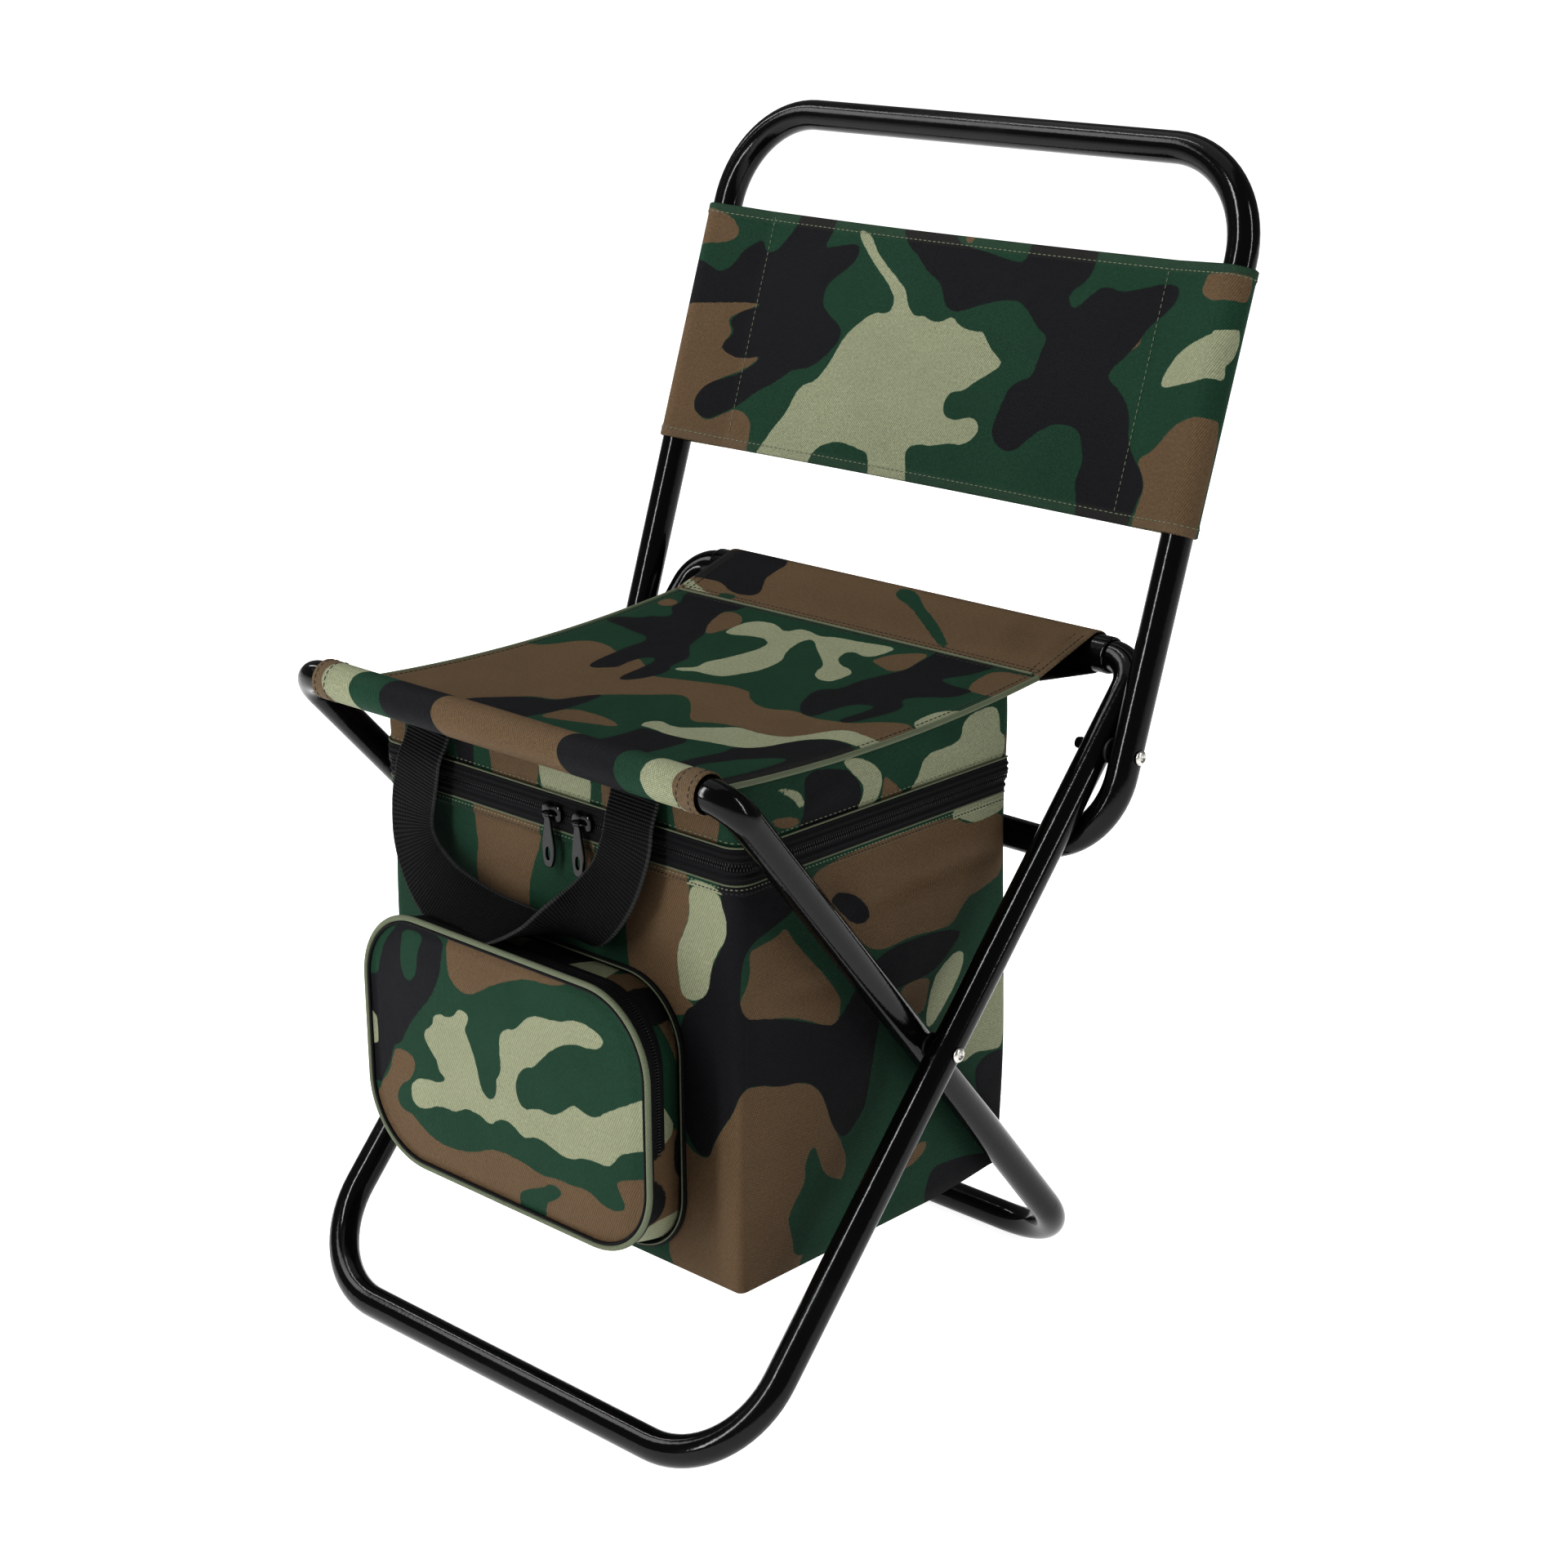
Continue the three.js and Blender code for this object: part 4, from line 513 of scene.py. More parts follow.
        return piece


def bead(sides=6, rings=3):
    """A small round-ended form of length, width and height 1: circles whose radius falls with the
    fourth power of the distance from its middle."""
    along = np.linspace(-0.5, 0.5, rings + 2)[1:-1]
    reach = 0.5 * (1 - (2 * np.abs(along)) ** 4) ** 0.5
    ring = reach[:, None, None] * circle_of(sides)
    points = points_of(along[:, None], ring[..., 0], ring[..., 1])
    points = np.vstack([points.reshape(-1, 3), [-0.5, 0, 0], [0.5, 0, 0]])
    index = np.arange(rings * sides).reshape(rings, sides)
    wide = np.hstack([index, index[:, :1]])
    quads = cells(wide)
    low, high = rings * sides, rings * sides + 1
    fans = [np.stack([wide[0, 1:], wide[0, :-1], np.full(sides, low)], -1),
            np.stack([wide[-1, :-1], wide[-1, 1:], np.full(sides, high)], -1)]
    return points, quads, np.vstack(fans)


BEAD = bead()


def measured(path):
    """Length along a path at each of its points."""
    return np.concatenate([[0], np.cumsum(np.linalg.norm(np.diff(path, axis=0), axis=1))])


def spaced(path, pitch, line):
    """Points a pitch apart along a path, their directions, and another line read at the same places."""
    run = measured(path)
    count = max(int(run[-1] / pitch), 1)
    at = (np.arange(count) + 0.5) * run[-1] / count
    return [np.stack([np.interp(at, run, values[:, k]) for k in range(3)], -1)
            for values in (path, np.gradient(path, axis=0), line)]


def sew(solid, path, up, pitch=3.2, size=(2.5, 0.55, 0.45)):
    """A row of stitches along a path, one bead each, lying on the cloth whose outward direction is up."""
    up = np.broadcast_to(np.asarray(up, float), path.shape)
    places, along, out = spaced(path, pitch, up)
    solid.strew(BEAD, places, along, out, size)


def bent(corners, radii, ring=False, step=math.radians(5)):
    """A path of straight stretches that meet in arcs: each arc starts and ends a radius times the
    tangent of half its turn from its corner."""
    corners = np.asarray(corners, float)
    count = len(corners)
    path = [] if ring else [corners[0]]
    inner = range(count) if ring else range(1, count - 1)
    for number, k in enumerate(inner):
        before, corner, after = corners[k - 1], corners[k], corners[(k + 1) % count]
        come, go = corner - before, after - corner
        come, go = come / np.linalg.norm(come), go / np.linalg.norm(go)
        turn = math.acos(float(np.clip(come @ go, -1, 1)))
        radius = radii[number]
        inward = (go - come * (come @ go)) / math.sin(turn)
        start = corner - come * radius * math.tan(turn / 2)
        angle = np.linspace(0, turn, max(int(turn / step), 3) + 1)[:, None]
        path.extend(start + radius * (np.sin(angle) * come + (1 - np.cos(angle)) * inward))
    if not ring:
        path.append(corners[-1])
    return np.array(path)


def side_point(x, side):
    """A place x over a point (y, z) of the side view."""
    return np.array([x, side[0], side[1]])


def smooth(share):
    """0 below 0, 1 above 1 and a soft step between them."""
    share = np.clip(share, 0, 1)
    return share * share * (3 - 2 * share)


# Finishes

class Link:
    """An output of a node. Sums written with it add Math nodes to the finish."""

    def __init__(self, finish, socket):
        self.finish, self.socket = finish, socket

    def math(self, operation, *values):
        """A Math node over some values."""
        return self.finish.node("ShaderNodeMath", {"operation": operation}, dict(enumerate(values)))

    def __add__(self, other):
        return self.math("ADD", self, other)

    __radd__ = __add__

    def __sub__(self, other):
        return self.math("SUBTRACT", self, other)

    def __rsub__(self, other):
        return self.math("SUBTRACT", other, self)

    def __mul__(self, other):
        return self.math("MULTIPLY", self, other)

    __rmul__ = __mul__

    def sine(self):
        """The value's sine."""
        return self.math("SINE", self)

    def step(self, low, high):
        """0 below low, 1 above high and a straight line between them."""
        settings = {"clamp": True, "interpolation_type": "LINEAR"}
        return self.finish.node("ShaderNodeMapRange", settings, {0: self, 1: low, 2: high, 3: 0.0, 4: 1.0})


class Finish:
    """One material: a Principled shader and the nodes that feed it."""

    def __init__(self, name, **constants):
        self.material = bpy.data.materials.new(name)
        self.material.use_nodes = True
        self.tree = self.material.node_tree
        self.shader = self.tree.nodes["Principled BSDF"]
        for socket, value in constants.items():
            self.shader.inputs[socket.replace("_", " ")].default_value = value

    def node(self, kind, settings=None, inputs=None, output=0):
        """Adds a node: its settings first, then a value or a link for each named socket."""
        node = self.tree.nodes.new(kind)
        for name, value in (settings or {}).items():
            setattr(node, name, value)
        for socket, value in (inputs or {}).items():
            if isinstance(value, Link):
                self.tree.links.new(value.socket, node.inputs[socket])
            else:
                node.inputs[socket].default_value = value
        return Link(self, node.outputs[output])

    def feed(self, socket, value):
        """Links a value to one of the shader's sockets."""
        self.tree.links.new(value.socket, self.shader.inputs[socket])

    def value(self, name):
        """A point value of the mesh."""
        return self.node("ShaderNodeAttribute", {"attribute_name": name}, output="Fac")

    def cloth_parts(self):
        """Place on the cloth, and its first two or three numbers: across, along and at the edge."""
        place = self.node("ShaderNodeAttribute", {"attribute_name": "cloth"}, output="Vector")
        split = self.node("ShaderNodeSeparateXYZ", None, {0: place}).socket.node
        return place, *(Link(self, split.outputs[k]) for k in range(3))

    def object_place(self):
        """Place in the object's own coordinates."""
        return self.node("ShaderNodeTexCoord", output="Object")

    def noise(self, place, scale, detail=2.0, roughness=0.5):
        """A smooth random value at each place."""
        inputs = {"Vector": place, "Scale": scale, "Detail": detail, "Roughness": roughness}
        return self.node("ShaderNodeTexNoise", None, inputs)

    def cell_distance(self, place, scale):
        """Distance to the middle of the nearest of many small cells."""
        inputs = {"Vector": place, "Scale": scale}
        return self.node("ShaderNodeTexVoronoi", {"feature": "F1"}, inputs, output="Distance")

    def blend(self, share, first, second, operation="MIX"):
        """One colour over another by a share from 0 to 1."""
        settings = {"data_type": "RGBA", "blend_type": operation}
        colours = {k: v if isinstance(v, Link) else (*v, 1.0) for k, v in ((6, first), (7, second))}
        return self.node("ShaderNodeMix", settings, {0: share, **colours}, output=2)

    def made(self, colour, roughness, height, strength, distance):
        """Feeds the shader its colour, its roughness and a bump of a height, and gives the material."""
        self.feed("Base Color", colour)
        self.feed("Roughness", roughness)
        inputs = {"Height": height, "Strength": strength, "Distance": distance}
        self.feed("Normal", self.node("ShaderNodeBump", None, inputs))
        return self.material


def dimmed(tone, *factors):
    """A colour made darker or paler, once for each factor."""
    return [[part * factor for part in tone] for factor in factors]


def ribs(place, pitch):
    """A wave from 0 to 1 whose crests lie a pitch in metres apart along a place."""
    return (place * (2 * math.pi / pitch)).sine() * 0.5 + 0.5


def camouflage_cloth(settings):
    """Woven polyester printed with four colours: each blot's edge is where its depth passes zero, with a
    little noise, and the weave is a fine twill whose rows lean across the cloth. The weave's light and
    shade are painted into the colour as lighter thread crowns and darker gaps."""
    finish = Finish("camouflage_cloth", Roughness=0.62, Specular_IOR_Level=0.12)
    place, across, along, _ = finish.cloth_parts()
    ragged = finish.noise(place, 260.0, 2.0) * 1.1 - 0.55
    grain = finish.noise(place, 640.0, 4.0, 0.75)
    patch = finish.noise(place, 26.0, 3.0)
    colour = finish.blend(patch, *dimmed(settings.green, 0.86, 1.14))
    for name in PRINTED:
        share = (finish.value(name) + ragged).step(-0.25, 0.25)
        colour = finish.blend(share, colour, finish.blend(patch, *dimmed(getattr(settings, name), 0.9, 1.1)))
    pace = 2 * math.pi / (settings.weave * MM)
    rows = (across * pace + along * (pace * 0.55)).sine()
    twill = rows * (along * (pace * 1.1) - across * (pace * 0.2)).sine()
    thread = twill * 0.5 + 0.5
    # Painted light and shade of the weave: thread crowns lighter, the gaps between threads darker, mixed with
    # random grain
    shade = (thread * 0.75 + grain * 1.0).step(0.3, 1.35)
    lit = finish.blend(shade, (0.42, 0.42, 0.42), (1.62, 1.62, 1.62))
    # The print's colour times the painted weave shade; real wear is mixed in after it where the wear value is
    # set
    weave_shade_and_wear = finish.blend(1.0, colour, lit, "MULTIPLY")
    weave_shade_and_wear = finish.blend(finish.value("wear") * 0.25, weave_shade_and_wear, (0.16, 0.15, 0.12))
    folds = finish.noise(place, 60.0, 3.0)
    return finish.made(weave_shade_and_wear, 0.52 + shade * 0.26, thread * 0.30 + grain * 0.7 + folds * 1.8, 0.7, 0.0006)


def thread_finish(name, tone, paler):
    """Sewing thread: fine turns along it, with a painted highlight where it stands up."""
    finish = Finish(name, Roughness=0.6)
    strand = finish.noise(finish.object_place(), 2600.0, 2.0)
    # Painted highlight: the thread's colour goes paler where its strands stand up
    return finish.made(finish.blend(strand, tone, paler), 0.45 + strand * 0.3, strand, 0.4, 0.0002)


def piping_trim(settings):
    """Woven tape over a cord: ribs across it, faded on its crown."""
    finish = Finish("piping_trim", Roughness=0.7)
    place, _, along, _ = finish.cloth_parts()
    rib = ribs(along, 0.9 * MM)
    fade = finish.noise(place, 40.0, 3.0)
    pale, full, dark = dimmed(settings.trim, 0.78, 1.2, 0.5)
    tone = finish.blend(rib * 0.35, finish.blend(fade, pale, full), dark)
    return finish.made(tone, 0.6 + fade * 0.25, rib + fade * 0.4, 0.5, 0.00025)


def webbing_finish(settings):
    """Heavy woven strap: raised weft bars along it, broken by the warp, and a painted highlight along its
    edges.
    """
    finish = Finish("black_webbing", Roughness=0.6, Specular_IOR_Level=0.15)
    place, across, along, edge = finish.cloth_parts()
    high = ribs(along, settings.web_rib * MM) * (0.55 + ribs(across, 1.3 * MM) * 0.45)
    fluff = finish.noise(place, 900.0, 3.0, 0.6)
    tone = finish.blend((high * 0.8 + fluff * 0.4).step(0.25, 1.1), *dimmed(settings.web, 1, 3))
    # Painted highlight along both edges of the strap: a pale grey mixed into its colour there
    tone = finish.blend(edge.step(0.93, 0.985) * 0.18, tone, (0.16, 0.17, 0.16))
    return finish.made(tone, 0.75 - high * 0.3, high + fluff * 0.2, 0.9, 0.0006)


def tape_finish(settings):
    """Zip tape: a fine close weave of black yarn with a herringbone lean."""
    finish = Finish("zip_tape", Roughness=0.65, Specular_IOR_Level=0.15)
    place, across, along, _ = finish.cloth_parts()
    lean = (along * 6200.0 + (across * 5200.0).sine() * 1.2).sine() * 0.5 + 0.5
    fluff = finish.noise(place, 1200.0, 2.0)
    tone = finish.blend((lean * 0.6 + fluff * 0.5).step(0.2, 1.0), *dimmed(settings.web, 1, 5))
    return finish.made(tone, 0.5 + fluff * 0.3, lean + fluff * 0.5, 0.6, 0.0003)


def nylon_finish(name, tone, rough):
    """Moulded nylon: a near even colour with a faint cloudiness."""
    finish = Finish(name)
    cloud = finish.noise(finish.object_place(), 500.0, 2.0)
    tone = finish.blend(cloud, *dimmed(tone, 0.8, 1.5))
    return finish.made(tone, rough + cloud * 0.15, cloud, 0.15, 0.0001)


def frame_paint(settings):
    """Gloss black powder coat: an orange peel too fine to see as bumps, rubbed and dusty in places."""
    finish = Finish("frame_paint", Specular_IOR_Level=0.34)
    place = finish.object_place()
    peel = finish.noise(place, 420.0, 2.0)
    rub = finish.noise(place, 9.0, 4.0, 0.65).step(0.52, 0.72)
    tone = finish.blend(rub * 0.5, settings.paint, [part * 2.2 + 0.002 for part in settings.paint])
    return finish.made(tone, 0.11 + rub * 0.1 + peel * 0.05, peel, 0.09, 0.0006)


def steel_finish():
    """Bare zinc-plated steel: brushed rings and small dull spots."""
    finish = Finish("rivet_steel", Metallic=1.0)
    place = finish.object_place()
    spot = finish.noise(place, 700.0, 4.0, 0.7)
    tone = finish.blend(spot, (0.42, 0.41, 0.38), (0.78, 0.77, 0.74))
    return finish.made(tone, 0.22 + spot * 0.3, spot, 0.2, 0.0002)


def foil_finish():
    """Foil film over foam: crumpled into small flat facets, each with its own tilt."""
    finish = Finish("foil_lining", Metallic=0.85)
    place = finish.cloth_parts()[0]
    facet = finish.cell_distance(place, 90.0)
    fine = finish.noise(place, 300.0, 4.0, 0.6)
    tone = finish.blend(fine, (0.55, 0.56, 0.58), (0.85, 0.86, 0.88))
    return finish.made(tone, 0.2 + fine * 0.2, facet * 2.0 + fine, 0.8, 0.0016)


def foam_finish():
    """Closed-cell foam: small round cells that show as pits."""
    finish = Finish("white_foam", Roughness=0.9)
    cell = finish.cell_distance(finish.object_place(), 900.0)
    tone = finish.blend(cell, (0.82, 0.82, 0.78), (0.6, 0.6, 0.57))
    return finish.made(tone, 0.8 + cell * 0.15, cell, 0.6, 0.0006)


def board_finish():
    """Grey fibre board: short fibres pressed flat."""
    finish = Finish("grey_board", Roughness=0.8)
    fibre = finish.noise(finish.object_place(), 420.0, 5.0, 0.7)
    tone = finish.blend(fibre, (0.03, 0.03, 0.028), (0.09, 0.088, 0.082))
    return finish.made(tone, 0.7 + fibre * 0.2, fibre, 0.4, 0.0004)


def floor_finish(settings):
    """Pale matt paper."""
    finish = Finish("studio_floor", Roughness=0.9, Specular_IOR_Level=0.1, Emission_Strength=settings.glow)
    finish.shader.inputs["Base Color"].default_value = (*settings.floor, 1.0)
    finish.shader.inputs["Emission Color"].default_value = (1.0, 1.0, 1.0, 1.0)
    return finish.material


FINISHES = {}


def finish_of(name):
    """The material of that name, made once from the colours of the stool's settings."""
    if not FINISHES:
        settings = bpy.context.scene.stool
        FINISHES.update({
            "cloth": camouflage_cloth(settings),
            "dark_thread": thread_finish("dark_thread", (0.004, 0.005, 0.004), (0.03, 0.032, 0.028)),
            "green_thread": thread_finish("green_thread", (0.06, 0.075, 0.045), (0.24, 0.26, 0.18)),
            "trim": piping_trim(settings),
            "web": webbing_finish(settings),
            "tape": tape_finish(settings),
            "coil": nylon_finish("zip_coil", (0.012, 0.012, 0.013), 0.3),
            "hardware": nylon_finish("zip_hardware", (0.003, 0.003, 0.0035), 0.16),
            "washer": nylon_finish("washer_nylon", (0.01, 0.01, 0.011), 0.45),
            "paint": frame_paint(settings),
            "steel": steel_finish(),
            "foil": foil_finish(),
            "foam": foam_finish(),
            "board": board_finish(),
            "floor": floor_finish(settings),
        })
    return FINISHES[name]


# Frame

def rear_leg_half(z):
    """Distance of a rear leg's centreline from the middle plane, at a height."""
    share = (z - REAR_FOOT[1]) / (FRONT_RAIL[1] - REAR_FOOT[1])
    return REAR_FOOT_HALF + (REAR_TOP_HALF - REAR_FOOT_HALF) * share


def build_tubes(sides):
    """Bent tubes: circles of one radius carried along straight stretches and arcs, and the straight rear
    rail, a turned profile whose ends are rounded over."""
    stub = LEG_HALF - RAIL_STUB
    for name, body, node, foot, rail, low, high, radii, ring in (
        ("front_leg_tube", "front_frame", "front_leg_frame", FRONT_FOOT, REAR_RAIL, LEG_HALF, LEG_HALF,
         (RAIL_BEND, BIG_BEND, BIG_BEND, RAIL_BEND), False),
        ("rear_leg_tube", "rear_frame", "rear_leg_frame", REAR_FOOT, FRONT_RAIL, REAR_FOOT_HALF, REAR_TOP_HALF,
         (BIG_BEND, BIG_BEND, RAIL_BEND, RAIL_BEND), True),
        ("backrest_tube", "backrest", "backrest_frame", CROSS_BAR, BACK_TOP, BACK_HALF, BACK_HALF,
         (BASE_BEND, BASE_BEND, BIG_BEND, BIG_BEND), True),
    ):
        corners = [side_point(x, end) for x, end in ((-low, foot), (low, foot), (high, rail), (-high, rail))]
        if not ring:
            corners = [side_point(-stub, rail), corners[3], *corners[:3], side_point(stub, rail)]
        plane = (0, foot[1] - rail[1], rail[0] - foot[0])
        tube = Solid()
        tube.tube(bent(corners, radii, ring), TUBE, plane, sides, ring)
        tube.place(name, "paint", body, node)
    end = LEG_HALF - RAIL_BEND - 0.4
    outer = [(9.0, end), (9.35, end - 0.6), (9.46, end - 1.4)]
    inner = [(8.45, end), (8.3, end - 0.4)]
    mirrored = lambda profile: [(radius, -x) for radius, x in profile]
    rail = Solid()
    rail.turned(mirrored(outer) + outer[::-1] + inner + mirrored(inner[::-1]), REAR_RAIL, hollow=True)
    rail.place("rear_rail_tube", "paint", "front_frame", "rear_seat_rail")


def build_fasteners():
    """Rivets with a domed, dimpled head, and washers: rings of a profile turned about an axis along X."""
    for spot, at, outer_half, inner_half, tail in (
        ("crossing", CROSSING, LEG_HALF, rear_leg_half(CROSSING[1]), 1.6),
        ("backrest", BACK_PIVOT, BACK_HALF, LEG_HALF, 4.0),
    ):
        top, low = outer_half + TUBE + 0.15, inner_half - TUBE - 0.15
        tip = top + 1.7
        near, far = inner_half + TUBE + 0.12, outer_half - TUBE - 0.12
        for hand, side in (("left", -1), ("right", 1)):
            rivet = Solid()
            rivet.turned([(0.5, tip - 1.35), (1.3, tip - 1.3), (1.65, tip - 1.0), (1.8, tip - 0.3), (2.1, tip),
                          (2.7, tip - 0.18), (3.25, tip - 0.55), (3.65, tip - 1.05), (3.8, tip - 1.5),
                          (3.7, top), (2.2, top), (2.2, low), (2.2, low - tail * 0.5), (1.5, low - tail * 0.9)],
                         at, side)
            rivet.place(f"{spot}_rivet_head_{hand}", "steel", "front_frame", f"{spot}_rivet_{hand}")
            # The rivet's tail end is black: it takes the frame's paint finish rather than the steel of its head
            cap = Solid()
            cap.turned([(2.25, low), (3.0, low), (3.15, low - tail * 0.45), (2.75, low - tail * 0.95),
                        (1.5, low - tail - 0.25), (0.4, low - tail - 0.3), (0.4, low - tail),
                        (1.7, low - tail)], at, side, hollow=True)
            cap.place(f"{spot}_rivet_cap_{hand}", "paint", "front_frame")
            washer = Solid()
            washer.turned([(2.45, near), (6.1, near), (6.4, near + 0.3), (6.4, far - 0.3), (6.1, far),
                           (2.45, far)], at, side, hollow=True)
            washer.place(f"{spot}_spacer_{hand}", "washer", "front_frame", f"{spot}_washer_{hand}")


# Seat

def ridges(u, v, lines):
    """Soft folds in cloth: for each line, a bell curve of the distance from it that fades to its ends."""
    total = np.zeros(np.broadcast(u, v).shape)
    for u0, v0, u1, v1, width, height in lines:
        du, dv = u1 - u0, v1 - v0
        length = math.hypot(du, dv)
        along = ((u - u0) * du + (v - v0) * dv) / length ** 2
        across = ((u - u0) * dv - (v - v0) * du) / length
        fade = np.clip(np.sin(np.pi * np.clip(along, 0, 1)), 0, 1) ** 0.7
        total = total + height * np.exp(-(across / width) ** 2) * fade
    return total


SEAT_FOLDS = ((118, -122, 40, -62, 9, 0.9), (104, -124, 10, -96, 7, -0.8), (-118, -118, -30, -70, 10, 0.8),
              (-100, 90, -20, 20, 16, 0.7), (110, 90, 40, 10, 18, 0.6), (120, -60, 60, 10, 12, -0.6))


def seat_level(x, y):
    """Top of the seat cloth: a parabola between its ends, drawn down a little in the middle of its width
    by the bag's weight, with soft folds from its corners."""
    share = (y - SEAT_FRONT[0]) / (SEAT_REAR[0] - SEAT_FRONT[0])
    level = SEAT_FRONT[1] + share * (SEAT_REAR[1] - SEAT_FRONT[1]) - SEAT_SAG * share * (1 - share)
    held = np.clip(4 * share * (1 - share), 0, 1)
    return level + held * (0.5 - 0.9 * np.cos(x / SEAT_HALF * np.pi / 2) + ridges(x, y, SEAT_FOLDS))


def cloth_place(u, v):
    """The cloth's own coordinates in metres, for its weave."""
    return points_of(u, v, 0.0) * MM


def bend_with_fold(piece):
    """Bakes the piece's placement into its mesh; the seat's rear and front ends are worked out but not used."""
    start, end = (side_point(0, s) + [0, SHIFT, 0] for s in (SEAT_REAR, SEAT_FRONT))
    tuple(start * MM)
    tuple(end * MM)
    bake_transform(piece)


def build_seat():
    """Seat cloth: a sheet over a grid of x and y at the seat's level, with its piping and stitches."""
    on_seat = lambda x, y, lift: points_of(x, y, seat_level(x, y) + lift)
    x, y = np.meshgrid(np.linspace(-SEAT_HALF, SEAT_HALF, 110), np.linspace(SEAT_FRONT[0], SEAT_REAR[0], 100))
    cloth = Solid()
    cloth.sheet(on_seat(x, y, -0.8), 1.6, cloth=cloth_place(x, y),
                wear=smooth((np.abs(x) - 116) / 8) * 0.4, **printed("seat", x, y))
    seat = cloth.place("seat_cloth", "cloth", None, "seat_panel")
    bend_with_fold(seat)
    run = np.linspace(SEAT_FRONT[0] + 0.4, SEAT_REAR[0] - 0.4, 90)
    for hand, side in (("left", -1), ("right", 1)):
        cord = Solid()
        edge = points_of(side * (SEAT_HALF + 1.7), run, seat_level(side * SEAT_HALF, run) - 0.9)
        cord.tube(edge, 1.45, (1, 0, 0), 14)
        bend_with_fold(cord.place(f"seat_edge_cord_{hand}", "trim", None, f"seat_piping_{hand}"))
    thread = Solid()
    for side in (-1, 1):
        sew(thread, on_seat(side * (SEAT_HALF - 2.4), run, 0.12), (0, 0, 1))
    across = np.linspace(-120, 120, 120)
    for back in (1.6, 3.4):
        sew(thread, on_seat(across, SEAT_REAR[0] - back, 0.12), (0, 0, 1))
    bend_with_fold(thread.place("seat_stitches", "dark_thread"))
    line = Solid()
    line.tube(on_seat(across, SEAT_FRONT[0] + 0.9, 0.35), 0.5, (0, 0, 1), 8)
    rear = SEAT_REAR[0] - 0.4
    line.tube(points_of(across * 1.02, rear, seat_level(across, rear) + 0.5), 0.75, (0, 0, 1), 10)
    bend_with_fold(line.place("seat_seam_cords", "trim"))


# Rail sleeves

def build_front_sleeve():
    """Cloth ring round the front rail: a circle drawn out to a point where the seat pulls on it, carried
    along X, with a turned hem at each end."""
    middle, half, bore = 4.0, 131.0, 9.0
    x = np.linspace(middle - half, middle + half, 132)[:, None]
    angle = np.linspace(0, 2 * np.pi, 64, endpoint=False)
    pull = np.arctan2(SEAT_FRONT[1] - FRONT_RAIL[1], SEAT_FRONT[0] - FRONT_RAIL[0])
    from_turn = lambda start: (angle - start + np.pi) % (2 * np.pi) - np.pi
    hem = smooth((np.abs(x - middle) - half + 11.5) / 1.2)
    radius = bore + 1.3 * np.exp(-(from_turn(pull) / 0.3) ** 2) + 0.35 * hem
    radius = radius + 0.12 * np.sin(x / 17 + angle * 2) * (1 - hem)
    grid = points_of(x, FRONT_RAIL[0] + radius * np.cos(angle), FRONT_RAIL[1] + radius * np.sin(angle))
    face = from_turn(math.radians(155))
    u, v = np.broadcast_arrays(x - middle + 4 * np.cos(face * 1.4 + 0.3), bore * face)
    cloth = Solid()
    cloth.sheet(grid, 1.2, ring=True, cloth=cloth_place(x, bore * face),
                wear=np.broadcast_to(0.5 * hem, u.shape), **printed("sleeve", u, v))
    piece = cloth.place("front_sleeve", "cloth", "rear_frame", "front_rail_sleeve")
    thread = Solid()
    turn = np.linspace(pull + 0.5, pull + 2 * np.pi - 0.5, 60)
    out = points_of(0.0, np.cos(turn), np.sin(turn))
    for at in (-124.6, -117.4, 125.4, 132.6):
        sew(thread, side_point(at, FRONT_RAIL) + out * 10.0, out)
    thread.place("front_sleeve_stitches", "dark_thread", "rear_frame")


def tangent_loop(point, middle, radius, spread, steps):
    """A path from beside a point, along a tangent to a circle, round its far side and back."""
    gap = np.array(point) - middle
    reach = np.hypot(*gap)
    facing, lean = math.atan2(gap[1], gap[0]), math.acos(radius / reach)
    angle = np.linspace(facing - lean, facing + lean - 2 * np.pi, steps)
    arc = middle + radius * np.stack([np.cos(angle), np.sin(angle)], -1)
    aside = np.array([-gap[1], gap[0]]) / reach * spread
    fill = lambda start, end: start + (end - start) * np.linspace(0, 1, 18, endpoint=False)[:, None]
    return np.vstack([fill(point - aside, arc[0]), arc, fill(arc[-1], point + aside)[1:], [point + aside]])


TONGUE_FOLDS = ((-70, 0, -50, 46, 8, 0.7), (30, 0, 10, 46, 9, -0.6), (90, 0, 80, 46, 8, 0.8),
                (120, 0, 112, 46, 5, 0.6))


